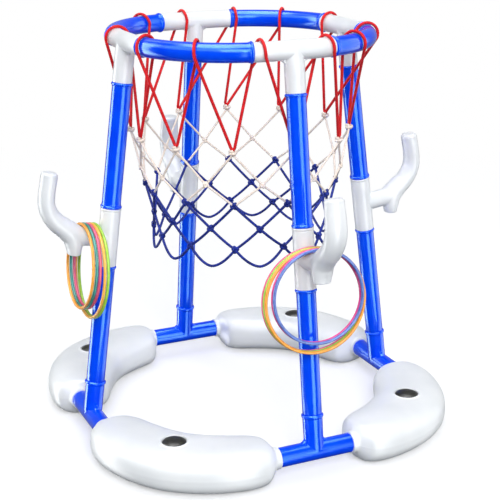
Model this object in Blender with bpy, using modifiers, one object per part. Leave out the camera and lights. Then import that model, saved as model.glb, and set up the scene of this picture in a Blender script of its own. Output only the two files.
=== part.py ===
"""Floating basketball hoop: a push-fit tube frame on four hollow floats, with a net and toss rings."""

from math import acos, asin, atan2, cos, degrees, hypot, pi, radians, sin, tan

import bmesh
import bpy
from mathutils import Matrix, Vector

# Driving dimensions, in metres. The origin is the middle of the base on the ground, +Z up.
TUBE_RADIUS = 0.0135
WALL = 0.0015
FIT_GAP = 0.0003          # kept between pieces that touch
TUBE_SIDES = 10
INNER_SIDES = 8           # bores and spigots, which are hidden when it is put together

RING_RADIUS = 0.1705      # centre of the hoop to the middle of each ring tee
RING_STRAIGHT = 0.028     # half of the straight middle of each ring tee
RING_RISE = 0.5428        # hoop axis above the base tee axis
TEE_HALF = 0.0569         # middle of a ring tee to the end of its visible bar
TEE_RADIUS = 0.0131
RING_TUBE_RADIUS = 0.0130 # the hoop's tube is a little thinner than the legs' tubes
RING_RIM_RADIUS = 0.0142

FOOT_RADIUS = 0.2422      # centre of the hoop to each base tee
TEE_HEIGHT = 0.0325       # base tee axis above the ground
BASE_TEE_HALF = 0.0553
BASE_BAR_RADIUS = 0.0137

SPIGOT_RADIUS = 0.0112
SPIGOT_LENGTH = 0.024
RING_SPIGOT = 0.014
RING_SPIGOT_RADIUS = 0.0104
SOCKET_BORE = 0.0128
PLUG_END_RADIUS = 0.0120  # tube ends necked down to enter a socket
INNER_BORE = 0.0096
RIM_RADIUS = 0.0147
RIM_HEIGHT = 0.0032

# Places along a leg, measured up from the base tee axis
STEM_END = 0.4913
SLEEVE_TOP = 0.3135
SLEEVE_BOTTOM = 0.2295
SOCKET_TOP = 0.0538

SOCKET_RADIUS = 0.0142
SOCKET_FOOT_RADIUS = 0.0133
CUT_OVER = 0.002          # how far a cutter runs past the face it opens

SLEEVE_RADIUS = 0.0144
SLEEVE_RIM_RADIUS = 0.0149
ARM_RADIUS = 0.0134
ARM_LENGTH = 0.056
PRONG_RADIUS = 0.0115
STUB_END = -0.0262        # height of the stub's end, measured from the arm's axis

# Middle line of the stub and the prong, from the stub's end to the prong's blunt tip:
# out, up, radius, and how many times wider they are across than thick
HOOK_ROUTE = (
    (0.0488, STUB_END, 0.0090, 1.36),
    (0.0490, -0.0200, 0.0104, 1.31),
    (0.0502, -0.0110, 0.0124, 1.21),
    (0.0540, 0.0000, 0.0140, 1.10),
    (0.0640, 0.0103, 0.0143, 1.08),
    (0.0770, 0.0195, 0.0136, 1.15),
    (0.0878, 0.0315, 0.0124, 1.27),
    (0.0938, 0.0460, 0.0118, 1.32),
    (0.0944, 0.0640, PRONG_RADIUS, 1.30),
    (0.0932, 0.0820, PRONG_RADIUS + 0.0002, 1.21),
    (0.0930, 0.0880, PRONG_RADIUS + 0.0002, 1.20),
    (0.0930, 0.0915, PRONG_RADIUS - 0.0035, 1.20),
)

TOSS_CORD_RADIUS = 0.0023
TOSS_FIRST = 0.0184         # leg axis to the first ring's top on the arm
TOSS_STEP = 0.0050
TOSS_TILT = radians(0.4)    # the rings' lower ends lean in towards the leg

# Each bunch, from the leg outwards: its turn about the leg, and (colour, radius to the middle of the section)
TOSS_BUNCHES = {
    "front": (
        radians(-5),
        (("pink", 0.0707), ("lime", 0.0707), ("orange", 0.0707), ("magenta", 0.0632), ("blue", 0.0632)),
    ),
    "left": (
        0.0,
        (("lime", 0.0667), ("yellow", 0.0667), ("pink", 0.0597), ("teal", 0.0597), ("orange", 0.0597)),
    ),
}

CORD_RADIUS = 0.0021        # hanging loops
MESH_CORD_RADIUS = 0.0017
KNOT_RADIUS = 0.0038
KNOT_REACH = 0.0057         # middle of a knot to where its strand is thin
KNOT_CLEARANCE = 0.0072     # middle of a knot to the end of a strand of the other colour
NET_COLUMNS = 12
NET_TWIST = 7.8             # degrees that the net hangs turned round, and how far its columns
NET_BIAS = 5.7              # are drawn together on one side
NET_BIAS_AZIMUTH = 55.0

# Where each hanging loop passes over the hoop, in degrees: clear of the tee stems and of the tube rims
LOOP_AZIMUTHS = (15.5, 45, 69, 97, 121, 168, 201.6, 228, 254.5, 286, 304, 333)
OUTSIDE_FIRST = (168,)      # loops that go up outside the hoop and down inside, the other way to the rest
LOOP_DRIFT = 0.0050         # how far round the hoop a loop moves as it passes over
LOOP_BEND = 0.0036          # half of a loop's width just above its apex
LOOP_STEPS = 6              # straight lengths in each pass over the hoop
SCALLOP_SHARES = (-0.7, 0, 0.7)  # points along each swag of the bottom edge

FLOAT_WALL = 0.0020
FLOAT_MIDDLE = 0.2615       # centre of the hoop to the middle of a float
# Share of the way from a float's neck to its middle, half width, half height and squareness of the
# section, and how far the section's middle lies below the neck's and further in towards the hoop's middle
FLOAT_STATIONS = (
    (0.00, 0.0137, 0.0137, 2.0, 0, 0),
    (0.07, 0.0141, 0.0141, 2.0, 0, 0),
    (0.105, 0.0225, 0.0212, 2.2, 0.0010, 0.0022),
    (0.13, 0.0297, 0.0250, 2.4, 0.0020, 0.0040),
    (0.17, 0.0362, 0.0276, 2.6, 0.0029, 0.0050),
    (0.30, 0.0440, 0.0292, 2.8, 0.0033, 0.0048),
    (0.50, 0.0497, 0.0296, 2.8, 0.0033, 0.0030),
    (0.75, 0.0531, 0.0296, 2.8, 0.0033, 0.0010),
    (1.00, 0.0545, 0.0296, 2.8, 0.0033, 0),
)
FLOAT_SIDES = 12
HOLLOW_SIDES = 8
HOLLOW_FROM = 0.29          # share of the way along a float where its air chamber starts
HOLLOW_TAPER = 0.0040       # how much slimmer the chamber is at its two ends
HOLLOW_DROP = 0.0020        # chamber's middle below the float's, which leaves a thick seat under the plug
FLOAT_NECK_PULL = 0.100     # how far a float's middle line keeps its direction at the neck,
FLOAT_MIDDLE_PULL = 0.150   # and at the middle
PLUG_OUT = 0.2600           # centre of the hoop to each plug
PLUG_SEAT_RADIUS = 0.0172
PLUG_SEAT_RIM = 0.0030      # width of the raised rim round the seat, and its height above the seat
PLUG_SEAT_RIM_LIFT = 0.0035
PLUG_HOLE_RADIUS = 0.0100
PLUG_LIFT = 0.0238          # plug seat above the base tee axis
PLUG_SIDES = 12

LEGS = {"right": 0, "back": 90, "left": 180, "front": 270}
QUARTERS = {"back_right": 45, "back_left": 135, "front_left": 225, "front_right": 315}

# Net rows: radius, height above the base tee axis, and whether the row sits half a column round
NET_ROWS = {
    "loop": (0.1588, 0.4126, False),
    "cream": (0.1480, 0.3586, True),
    "change": (0.1404, 0.3278, False),
    "middle": (0.1307, 0.2916, True),
    "low": (0.1296, 0.2624, False),
    "scallop": (0.1310, 0.2398, True),
}

LEG_LEAN = atan2(FOOT_RADIUS - RING_RADIUS, RING_RISE)
LEG_LENGTH = hypot(FOOT_RADIUS - RING_RADIUS, RING_RISE)
RING_HEIGHT = TEE_HEIGHT + RING_RISE
CORNER_RADIUS = RING_RADIUS - RING_STRAIGHT
TEE_END_ANGLE = asin((TEE_HALF - RING_STRAIGHT) / CORNER_RADIUS)
HOOK_MIDDLE = (SLEEVE_TOP + SLEEVE_BOTTOM) / 2
SLEEVE_HALF = (SLEEVE_TOP - SLEEVE_BOTTOM) / 2


def clear_scene():
    for obj in list(bpy.data.objects):
        bpy.data.objects.remove(obj, do_unlink=True)


def make_collection(name):
    collection = bpy.data.collections.new(name)
    bpy.context.scene.collection.children.link(collection)
    return collection


clear_scene()
PARTS = make_collection("floating_basketball_hoop")
CUTTERS = make_collection("cutters")


def make_material(name, colour, roughness):
    material = bpy.data.materials.new(name)
    material.use_nodes = True
    shader = material.node_tree.nodes["Principled BSDF"]
    shader.inputs["Base Color"].default_value = (*colour, 1)
    shader.inputs["Roughness"].default_value = roughness
    shader.inputs["Metallic"].default_value = 0
    return material


BLUE = make_material("blue_plastic", (0.0, 0.045, 0.9), 0.25)
WHITE = make_material("white_plastic", (0.84, 0.85, 0.88), 0.35)
RUBBER = make_material("black_rubber", (0.012, 0.012, 0.013), 0.5)
RED_CORD = make_material("red_cord", (0.7, 0.008, 0.012), 0.7)
CREAM_CORD = make_material("cream_cord", (0.85, 0.75, 0.66), 0.75)
NAVY_CORD = make_material("navy_cord", (0.006, 0.012, 0.16), 0.7)
TOSS_COLOURS = {
    "orange": make_material("orange_plastic", (0.9, 0.35, 0.04), 0.4),
    "yellow": make_material("yellow_plastic", (0.9, 0.5, 0.05), 0.4),
    "lime": make_material("lime_plastic", (0.35, 0.65, 0.05), 0.4),
    "teal": make_material("teal_plastic", (0.03, 0.25, 0.22), 0.4),
    "pink": make_material("pink_plastic", (0.85, 0.09, 0.22), 0.4),
    "magenta": make_material("magenta_plastic", (0.75, 0.05, 0.30), 0.4),
    "blue": make_material("light_blue_plastic", (0.08, 0.16, 0.5), 0.4),
}


def add_helper(name, mesh):
    """An object for building with, which is not a part itself."""
    obj = bpy.data.objects.new(name, mesh)
    CUTTERS.objects.link(obj)
    obj.hide_render = True
    obj.display_type = "WIRE"
    return obj


def bake(obj, *others):
    """The object's evaluated mesh, in world space, with its helpers removed."""
    bpy.context.view_layer.update()
    graph = bpy.context.evaluated_depsgraph_get()
    mesh = bpy.data.meshes.new_from_object(obj.evaluated_get(graph))
    mesh.transform(obj.matrix_world)
    mesh.materials.clear()
    shape = bmesh.new()
    shape.from_mesh(mesh)
    bmesh.ops.remove_doubles(shape, verts=shape.verts, dist=0.000002)
    bmesh.ops.dissolve_degenerate(shape, edges=shape.edges, dist=0.000002)
    shape.to_mesh(mesh)
    shape.free()
    for used in (obj, *others):
        bpy.data.objects.remove(used, do_unlink=True)
    return mesh


def combine(base, steps):
    """Base object joined with or cut by each helper in turn, as one mesh."""
    for operation, helper in steps:
        change = base.modifiers.new(operation.lower(), "BOOLEAN")
        change.operation = operation
        change.solver = "EXACT"
        change.object = helper
    return bake(base, *[helper for _, helper in steps])


def turned(name, profile, sides=TUBE_SIDES):
    """Helper turned about Z from (radius, height) points that run down the outer side."""
    on_axis = profile[0][0] == 0
    shape = bmesh.new()
    points = [shape.verts.new((radius, 0, height)) for radius, height in profile]
    for first, second in zip(points, points[1:]):
        shape.edges.new((first, second))
    if not on_axis:
        shape.edges.new((points[-1], points[0]))
    mesh = bpy.data.meshes.new(name)
    shape.to_mesh(mesh)
    shape.free()
    obj = add_helper(name, mesh)
    screw = obj.modifiers.new("turn", "SCREW")
    screw.axis = "Z"
    screw.steps = sides
    screw.render_steps = sides
    screw.use_merge_vertices = True
    screw.merge_threshold = 0.00001
    return obj


def cylinder(name, radius, depth, matrix, sides=TUBE_SIDES):
    shape = bmesh.new()
    bmesh.ops.create_cone(
        shape, cap_ends=True, segments=sides, radius1=radius, radius2=radius, depth=depth, matrix=matrix
    )
    mesh = bpy.data.meshes.new(name)
    shape.to_mesh(mesh)
    shape.free()
    return add_helper(name, mesh)


def tube(name, points, radius, scales=None, sides=TUBE_SIDES, closed=False):
    """Helper mesh of a round tube along points, with capped ends unless it is closed."""
    curve = bpy.data.curves.new(name, "CURVE")
    curve.dimensions = "3D"
    curve.bevel_depth = radius
    curve.bevel_resolution = (sides - 4) // 2
    curve.use_fill_caps = not closed
    spline = curve.splines.new("POLY")
    spline.points.add(len(points) - 1)
    for i, point in enumerate(points):
        spline.points[i].co = (*point, 1)
        spline.points[i].radius = scales[i] if scales else 1
    spline.use_cyclic_u = closed
    obj = add_helper(name + "_curve", curve)
    return add_helper(name, bake(obj))


def smooth(mesh):
    mesh.shade_smooth()
    mesh.set_sharp_from_angle(angle=radians(40))
    return mesh


def place(name, mesh, material, parent=None, matrix=None):
    """A finished part under its parent."""
    obj = bpy.data.objects.new(name, mesh)
    PARTS.objects.link(obj)
    if not mesh.materials:
        mesh.materials.append(material)
    obj.parent = parent
    if matrix:
        obj.matrix_local = matrix
    return obj


def leg_frame(name, azimuth):
    """Empty at a leg's foot, with Z up along the leaning leg and X outwards."""
    empty = bpy.data.objects.new("leg_" + name, None)
    PARTS.objects.link(empty)
    turn = radians(azimuth)
    empty.location = (FOOT_RADIUS * cos(turn), FOOT_RADIUS * sin(turn), TEE_HEIGHT)
    empty.rotation_euler = (0, -LEG_LEAN, turn)
    return empty


def quarter_frame(name, azimuth):
    """Empty on the base tee plane, with X outwards through a float or a ring arc."""
    empty = bpy.data.objects.new("quarter_" + name, None)
    PARTS.objects.link(empty)
    empty.location = (0, 0, TEE_HEIGHT)
    empty.rotation_euler = (0, 0, radians(azimuth))
    return empty


def ring_corner(angle):
    """Point of the hoop's axis past the +X tee, at an angle round its corner curve."""
    return Vector(
        (RING_STRAIGHT + CORNER_RADIUS * cos(angle), RING_STRAIGHT + CORNER_RADIUS * sin(angle), 0)
    )


def ring_place(azimuth):
    """Point, direction and outward normal of the hoop's axis at an azimuth in degrees."""
    quarter = round(azimuth / 90)
    local = radians(azimuth - 90 * quarter)
    side = 1 if local >= 0 else -1
    local = abs(local)
    if tan(local) * RING_RADIUS <= RING_STRAIGHT:
        point = Vector((RING_RADIUS, side * tan(local) * RING_RADIUS, 0))
        bend = 0.0
    else:
        # Where a ray from the hoop's centre meets the corner circle
        middle = RING_STRAIGHT * (cos(local) + sin(local))
        offset = RING_STRAIGHT * (cos(local) - sin(local))
        reach = middle + (CORNER_RADIUS**2 - offset**2) ** 0.5
        point = Vector((reach * cos(local), side * reach * sin(local), 0))
        bend = side * asin((reach * sin(local) - RING_STRAIGHT) / CORNER_RADIUS)
    turn = Matrix.Rotation(radians(90 * quarter), 3, "Z")
    normal = turn @ Vector((cos(bend), sin(bend), 0))
    along = turn @ Vector((-sin(bend), cos(bend), 0))
    point = turn @ point
    point.z = RING_HEIGHT
    return point, along, normal


def ring_arc_mesh():
    """Blue quarter of the hoop, with a small flared rim at each open end."""
    start = TEE_END_ANGLE + 2 * FIT_GAP / CORNER_RADIUS
    end = pi / 2 - start
    rim = RIM_HEIGHT / CORNER_RADIUS
    rim_scale = RING_RIM_RADIUS / RING_TUBE_RADIUS
    stations = 6
    inner = [start + 1.5 * rim + (end - start - 3 * rim) * i / (stations - 1) for i in range(stations)]
    angles = [start, start + rim, *inner, end - rim, end]
    scales = [rim_scale, rim_scale, *[1] * stations, rim_scale, rim_scale]
    outer = tube("arc_outer", [ring_corner(a) for a in angles], RING_TUBE_RADIUS, scales)
    over = CUT_OVER / CORNER_RADIUS
    bore_angles = [start - over, *inner, end + over]
    bore = tube("arc_bore", [ring_corner(a) for a in bore_angles], RING_TUBE_RADIUS - WALL)
    mesh = combine(outer, [("DIFFERENCE", bore)])
    # The corner curve is drawn past the +X tee, so it is turned back to lie across +X
    mesh.transform(Matrix.Rotation(-pi / 4, 4, "Z"))
    return smooth(mesh)


def tee_path(half_angle):
    """Hoop axis through a tee, in the leg's frame with the tee's middle at the origin."""
    square_end = 0.012  # the last short step keeps the end face square to the hoop's axis
    angles = [0, half_angle / 2, half_angle - square_end, half_angle]
    side = [ring_corner(angle) for angle in angles]
    side = [Vector((point.x - RING_RADIUS, point.y, 0)) for point in side]
    mirrored = [Vector((point.x, -point.y, 0)) for point in reversed(side)]
    turn = Matrix.Rotation(LEG_LEAN, 3, "Y")
    return [turn @ point for point in mirrored + side]


def ring_tee_mesh():
    """White tee: a bar that follows the hoop, and a stem that goes down into the leg."""
    stem = LEG_LENGTH - STEM_END
    spigot_angle = TEE_END_ANGLE + RING_SPIGOT / CORNER_RADIUS
    bar = tube("tee_bar", tee_path(TEE_END_ANGLE), TEE_RADIUS)
    spigots = tube("tee_spigots", tee_path(spigot_angle), RING_SPIGOT_RADIUS, sides=INNER_SIDES)
    flare = turned(
        "tee_stem",
        [
            (0, 0),
            (TEE_RADIUS * 0.9, 0),
            (TUBE_RADIUS * 1.25, -TUBE_RADIUS * 0.72),
            (TUBE_RADIUS, -TUBE_RADIUS * 1.5),
            (TUBE_RADIUS, -stem),
            (SPIGOT_RADIUS, -stem),
            (SPIGOT_RADIUS, -stem - SPIGOT_LENGTH),
            (0, -stem - SPIGOT_LENGTH),
        ],
    )
    bar_bore = tube("tee_bar_bore", tee_path(spigot_angle + 0.02), INNER_BORE, sides=INNER_SIDES)
    drop = stem + SPIGOT_LENGTH + CUT_OVER
    stem_bore = cylinder(
        "tee_stem_bore", INNER_BORE, drop, Matrix.Translation((0, 0, -drop / 2)), sides=INNER_SIDES
    )
    mesh = combine(
        bar,
        [("UNION", spigots), ("UNION", flare), ("DIFFERENCE", bar_bore), ("DIFFERENCE", stem_bore)],
    )
    return smooth(mesh)


def upper_leg_mesh():
    """Upper leg tube: open flared top, and a collar over the necked end that enters the hook sleeve."""
    top = STEM_END - FIT_GAP
    collar = SLEEVE_TOP + FIT_GAP
    profile = [
        (RIM_RADIUS, top),
        (RIM_RADIUS, top - RIM_HEIGHT),
        (TUBE_RADIUS, top - 1.6 * RIM_HEIGHT),
        (TUBE_RADIUS, collar + 1.6 * RIM_HEIGHT),
        (RIM_RADIUS, collar + RIM_HEIGHT),
        (RIM_RADIUS, collar),
        (PLUG_END_RADIUS, collar),
        (PLUG_END_RADIUS, collar - SPIGOT_LENGTH),
        (PLUG_END_RADIUS - WALL, collar - SPIGOT_LENGTH),
        (PLUG_END_RADIUS - WALL, collar + 0.004),
        (TUBE_RADIUS - WALL, collar + 0.008),
        (TUBE_RADIUS - WALL, top),
    ]
    return smooth(bake(turned("upper_leg", profile)))


def lower_leg_mesh():
    """Lower leg tube: flared open top, and a necked end that enters the base tee."""
    top = SLEEVE_BOTTOM - FIT_GAP
    foot = SOCKET_TOP + FIT_GAP
    profile = [
        (RIM_RADIUS, top),
        (RIM_RADIUS, top - RIM_HEIGHT),
        (TUBE_RADIUS, top - 1.6 * RIM_HEIGHT),
        (TUBE_RADIUS, foot),
        (PLUG_END_RADIUS, foot),
        (PLUG_END_RADIUS, foot - SPIGOT_LENGTH),
        (PLUG_END_RADIUS - WALL, foot - SPIGOT_LENGTH),
        (PLUG_END_RADIUS - WALL, foot + 0.004),
        (TUBE_RADIUS - WALL, foot + 0.008),
        (TUBE_RADIUS - WALL, top),
    ]
    return smooth(bake(turned("lower_leg", profile)))


def hook_width(height):
    """How many times wider than thick the stub and the prong are at a height above the arm's axis."""
    for (_, low, _, low_width), (_, high, _, high_width) in zip(HOOK_ROUTE, HOOK_ROUTE[1:]):
        if height <= high:
            share = max(height - low, 0) / (high - low)
            return low_width + (high_width - low_width) * share
    return HOOK_ROUTE[-1][3]


def hook_tee_mesh():
    """White sleeve with an arm, an upright prong and a short stub, turning about the leg's axis."""
    sleeve = turned(
        "hook_sleeve",
        [
            (0, SLEEVE_HALF),
            (SLEEVE_RIM_RADIUS, SLEEVE_HALF),
            (SLEEVE_RIM_RADIUS, SLEEVE_HALF - 0.002),
            (SLEEVE_RADIUS, SLEEVE_HALF - 0.003),
            (SLEEVE_RADIUS, -SLEEVE_HALF),
            (SPIGOT_RADIUS, -SLEEVE_HALF),
            (SPIGOT_RADIUS, -SLEEVE_HALF - SPIGOT_LENGTH),
            (0, -SLEEVE_HALF - SPIGOT_LENGTH),
        ],
    )
    # The arm starts just past the leg's axis, where the bore cuts it open into the sleeve
    start = 0.001
    arm = cylinder(
        "hook_arm",
        ARM_RADIUS,
        ARM_LENGTH - start,
        Matrix.Translation(((ARM_LENGTH + start) / 2, 0, 0)) @ Matrix.Rotation(pi / 2, 4, "Y"),
    )
    points = [(out, 0, up) for out, up, _, _ in HOOK_ROUTE]
    scales = [radius / PRONG_RADIUS for _, _, radius, _ in HOOK_ROUTE]
    prong = tube("hook_prong", points, PRONG_RADIUS, scales)
    for vertex in prong.data.vertices:
        vertex.co.y *= hook_width(vertex.co.z)
    bore = turned(
        "hook_bore",
        [
            (0, SLEEVE_HALF + CUT_OVER),
            (SOCKET_BORE, SLEEVE_HALF + CUT_OVER),
            (SOCKET_BORE, SLEEVE_HALF - SPIGOT_LENGTH - 0.001),
            (INNER_BORE, SLEEVE_HALF - SPIGOT_LENGTH - 0.002),
            (INNER_BORE, -SLEEVE_HALF - SPIGOT_LENGTH - CUT_OVER),
            (0, -SLEEVE_HALF - SPIGOT_LENGTH - CUT_OVER),
        ],
    )
    mesh = combine(sleeve, [("UNION", arm), ("UNION", prong), ("DIFFERENCE", bore)])
    return smooth(mesh)


def base_tee_mesh():
    """Blue tee: a bar that joins two floats, and a socket for the leg."""
    across = Matrix.Rotation(pi / 2, 4, "X")
    bar = cylinder("foot_bar", BASE_BAR_RADIUS, 2 * BASE_TEE_HALF, across)
    reach = BASE_TEE_HALF + SPIGOT_LENGTH
    spigots = cylinder("foot_spigots", SPIGOT_RADIUS, 2 * reach, across, sides=INNER_SIDES)
    socket = turned(
        "foot_socket",
        [
            (0, SOCKET_TOP),
            (RIM_RADIUS, SOCKET_TOP),
            (RIM_RADIUS, SOCKET_TOP - 0.002),
            (SOCKET_RADIUS, SOCKET_TOP - 0.003),
            (SOCKET_RADIUS, SOCKET_TOP - SPIGOT_LENGTH - 0.004),
            (SOCKET_FOOT_RADIUS, BASE_BAR_RADIUS),
            (SOCKET_FOOT_RADIUS, 0),
            (0, 0),
        ],
    )
    bar_bore = cylinder("foot_bar_bore", INNER_BORE, 2 * (reach + CUT_OVER), across, sides=INNER_SIDES)
    leg_bore = INNER_BORE - 0.0004
    bore = turned(
        "foot_bore",
        [
            (0, SOCKET_TOP + CUT_OVER),
            (SOCKET_BORE, SOCKET_TOP + CUT_OVER),
            (SOCKET_BORE, SOCKET_TOP - SPIGOT_LENGTH - 0.001),
            (leg_bore, SOCKET_TOP - SPIGOT_LENGTH - 0.002),
            (leg_bore, 0),
            (0, 0),
        ],
    )
    mesh = combine(
        bar,
        [("UNION", spigots), ("UNION", socket), ("DIFFERENCE", bar_bore), ("DIFFERENCE", bore)],
    )
    return smooth(mesh)


def float_mouth():
    """Where a float's neck meets the base tee, in the float's frame, and the way it faces."""
    foot = Vector((FOOT_RADIUS, BASE_TEE_HALF + FIT_GAP))
    turn = Matrix.Rotation(radians(-45), 2)
    return turn @ foot, turn @ Vector((0, -1))


def float_spine(share):
    """Middle line of a float from its neck, 0, to its middle, 1, and its direction there."""
    mouth, outwards = float_mouth()
    middle = Vector((FLOAT_MIDDLE, 0))
    pull_in = -outwards * FLOAT_NECK_PULL
    pull_out = Vector((0, FLOAT_MIDDLE_PULL))
    square = share * share
    cube = square * share
    point = (
        (2 * cube - 3 * square + 1) * mouth
        + (cube - 2 * square + share) * pull_in
        + (3 * square - 2 * cube) * middle
        + (cube - square) * pull_out
    )
    way = (
        (6 * square - 6 * share) * mouth
        + (3 * square - 4 * share + 1) * pull_in
        + (6 * share - 6 * square) * middle
        + (3 * square - 2 * share) * pull_out
    )
    return point, way.normalized()


def float_section(share, half_width, half_height, squareness, drop, inwards, side, count, start):
    """Closed outline of a float's section, flat where it would dip under the ground plane.

    With start 0.5 its flats reach the full width and height, and with start 0 its corners do.
    """
    point, way = float_spine(share)
    across = Vector((-way.y, way.x))
    full = cos(2 * pi * start / count) ** (2 / squareness)
    outline = []
    for i in range(count):
        turn = 2 * pi * (i + start) / count
        wide = abs(cos(turn)) ** (2 / squareness) / full * (1 if cos(turn) >= 0 else -1)
        high = abs(sin(turn)) ** (2 / squareness) / full * (1 if sin(turn) >= 0 else -1)
        flat = point + across * (wide * half_width + inwards)
        height = max(high * half_height - drop, -TEE_HEIGHT)
        outline.append((flat.x, side * flat.y, height))
    return outline


def loft(name, sections):
    """Closed helper skinned over outlines that all have the same number of points."""
    shape = bmesh.new()
    rings = [[shape.verts.new(point) for point in outline] for outline in sections]
    count = len(rings[0])
    for first, second in zip(rings, rings[1:]):
        for i in range(count):
            j = (i + 1) % count
            shape.faces.new((first[i], first[j], second[j], second[i]))
    shape.faces.new(reversed(rings[0]))
    shape.faces.new(rings[-1])
    bmesh.ops.recalc_face_normals(shape, faces=shape.faces)
    mesh = bpy.data.meshes.new(name)
    shape.to_mesh(mesh)
    shape.free()
    return add_helper(name, mesh)


def float_mesh():
    """White hollow float with a blind socket at each neck and a seated plug hole on top."""
    first = [float_section(*station, -1, FLOAT_SIDES, 0.5) for station in FLOAT_STATIONS]
    second = [float_section(*station, 1, FLOAT_SIDES, 0.5) for station in reversed(FLOAT_STATIONS[:-1])]
    outer = loft("float_outer", first + second)
    inside = [
        (share, wide - FLOAT_WALL, high - FLOAT_WALL - HOLLOW_DROP, *rest)
        for share, wide, high, *rest in FLOAT_STATIONS
        if share > HOLLOW_FROM
    ]
    share, wide, high, *rest = inside[0]
    inside[0] = (share, wide - HOLLOW_TAPER, high - HOLLOW_TAPER, *rest)
    hollow_first = [float_section(*station, -1, HOLLOW_SIDES, 0) for station in inside]
    hollow_second = [float_section(*station, 1, HOLLOW_SIDES, 0) for station in reversed(inside[:-1])]
    hollow = loft("float_hollow", hollow_first + hollow_second)
    hollow.location.z = -HOLLOW_DROP
    steps = [("DIFFERENCE", hollow)]
    boss_height, seat_depth, hole_depth = 0.006, 0.010, 0.020
    rim_middle = Matrix.Translation((PLUG_OUT, 0, PLUG_LIFT + PLUG_SEAT_RIM_LIFT - boss_height / 2))
    above = Matrix.Translation((PLUG_OUT, 0, PLUG_LIFT + seat_depth / 2))
    below = Matrix.Translation((PLUG_OUT, 0, PLUG_LIFT))
    boss = cylinder("plug_boss", PLUG_SEAT_RADIUS + PLUG_SEAT_RIM, boss_height, rim_middle, PLUG_SIDES)
    seat = cylinder("plug_seat", PLUG_SEAT_RADIUS, seat_depth, above, PLUG_SIDES)
    hole = cylinder("plug_hole", PLUG_HOLE_RADIUS, hole_depth, below, PLUG_SIDES)
    steps += [("UNION", boss), ("DIFFERENCE", seat), ("DIFFERENCE", hole)]
    mouth, outwards = float_mouth()
    depth = SPIGOT_LENGTH + 0.003
    centre = mouth - outwards * (depth - CUT_OVER) / 2
    for side in (1, -1):
        facing = atan2(side * outwards.y, outwards.x)
        way = Matrix.Rotation(facing, 4, "Z") @ Matrix.Rotation(pi / 2, 4, "Y")
        place_at = Matrix.Translation((centre.x, side * centre.y, 0)) @ way
        socket = cylinder("neck_socket", PLUG_END_RADIUS, depth + CUT_OVER, place_at)
        steps.append(("DIFFERENCE", socket))
    return smooth(combine(outer, steps))


def plug_mesh():
    """Black domed plug whose short stem drops into the float's hole."""
    cap = PLUG_SEAT_RADIUS - 0.0006
    profile = [
        (0, 0.0046),
        (cap * 0.5, 0.0041),
        (cap * 0.85, 0.0026),
        (cap, 0.0008),
        (cap, 0),
        (PLUG_HOLE_RADIUS - 0.0008, 0),
        (PLUG_HOLE_RADIUS - 0.0012, -0.0085),
        (0, -0.0085),
    ]
    return smooth(bake(turned("plug", profile, PLUG_SIDES)))


def toss_ring_mesh(radius):
    """Round ring that stands across the hook's arm and hangs on it."""
    bpy.ops.mesh.primitive_torus_add(
        major_radius=radius, minor_radius=TOSS_CORD_RADIUS, major_segments=18, minor_segments=5
    )
    obj = bpy.context.active_object
    mesh = obj.data
    # The origin is on the arm's axis, which the ring turns about
    top = ARM_RADIUS + 2 * FIT_GAP + TOSS_CORD_RADIUS
    upright = Matrix.Translation((0, 0, -radius)) @ Matrix.Rotation(pi / 2, 4, "Y")
    mesh.transform(Matrix.Translation((0, 0, top)) @ Matrix.Rotation(TOSS_TILT, 4, "Y") @ upright)
    bpy.data.objects.remove(obj, do_unlink=True)
    return smooth(mesh)


def net_point(row, column):
    """A knot of the net while its columns are still evenly spaced."""
    radius, height, staggered = NET_ROWS[row]
    turn = 2 * pi * (column + (0.5 if staggered else 0)) / NET_COLUMNS
    return Vector((radius * cos(turn), radius * sin(turn), TEE_HEIGHT + height))


def hung(point):
    """The point turned round to where the net, which hangs a little unevenly, has it."""
    even = degrees(atan2(point.y, point.x))
    turn = NET_TWIST + NET_BIAS * cos(radians(even - NET_BIAS_AZIMUTH))
    return Matrix.Rotation(radians(turn), 3, "Z") @ point


def hanging_loop_points():
    """One closed cord that passes over the hoop and down to an apex, twelve times round."""
    wrap = TEE_RADIUS + CORD_RADIUS + 3 * FIT_GAP
    points = []
    for column, azimuth in enumerate(LOOP_AZIMUTHS):
        centre, along, normal = ring_place(azimuth)
        before = hung(net_point("loop", column))
        after = hung(net_point("loop", column + 1))
        aim = (before + after) / 2 - centre
        towards = atan2(aim.z, aim.dot(normal))
        swing = acos(wrap / hypot(aim.z, aim.dot(normal)))
        inner = towards - swing + 2 * pi
        outer = towards + swing
        first, last = (outer, inner) if azimuth in OUTSIDE_FIRST else (inner, outer)
        for i in range(LOOP_STEPS + 1):
            share = i / LOOP_STEPS
            turn = first + (last - first) * share
            over = normal * wrap * cos(turn) + Vector((0, 0, wrap * sin(turn)))
            points.append(centre + over + along * LOOP_DRIFT * (share - 0.5))
        sideways = Vector((-after.y, after.x, 0)).normalized() * LOOP_BEND
        above = Vector((0, 0, LOOP_BEND))
        points += [after - sideways + above, after, after + sideways + above]
    return points


def least_gap(points, diameter, near):
    """Least clear distance between two stretches of a closed cord that lie more than near apart along it."""
    spacing = 0.004
    fine = []
    for first, second in zip(points, points[1:] + points[:1]):
        steps = max(1, int((second - first).length / spacing))
        fine += [first.lerp(second, i / steps) for i in range(steps)]
    count = len(fine)
    run = [0.0]
    for first, second in zip(fine, fine[1:] + fine[:1]):
        run.append(run[-1] + (second - first).length)
    total = run[-1]
    least = total
    for i in range(count):
        for j in range(i + 1, count):
            apart = run[j] - run[i]
            if min(apart, total - apart) > near:
                least = min(least, (fine[i] - fine[j]).length)
    return least - diameter


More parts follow.
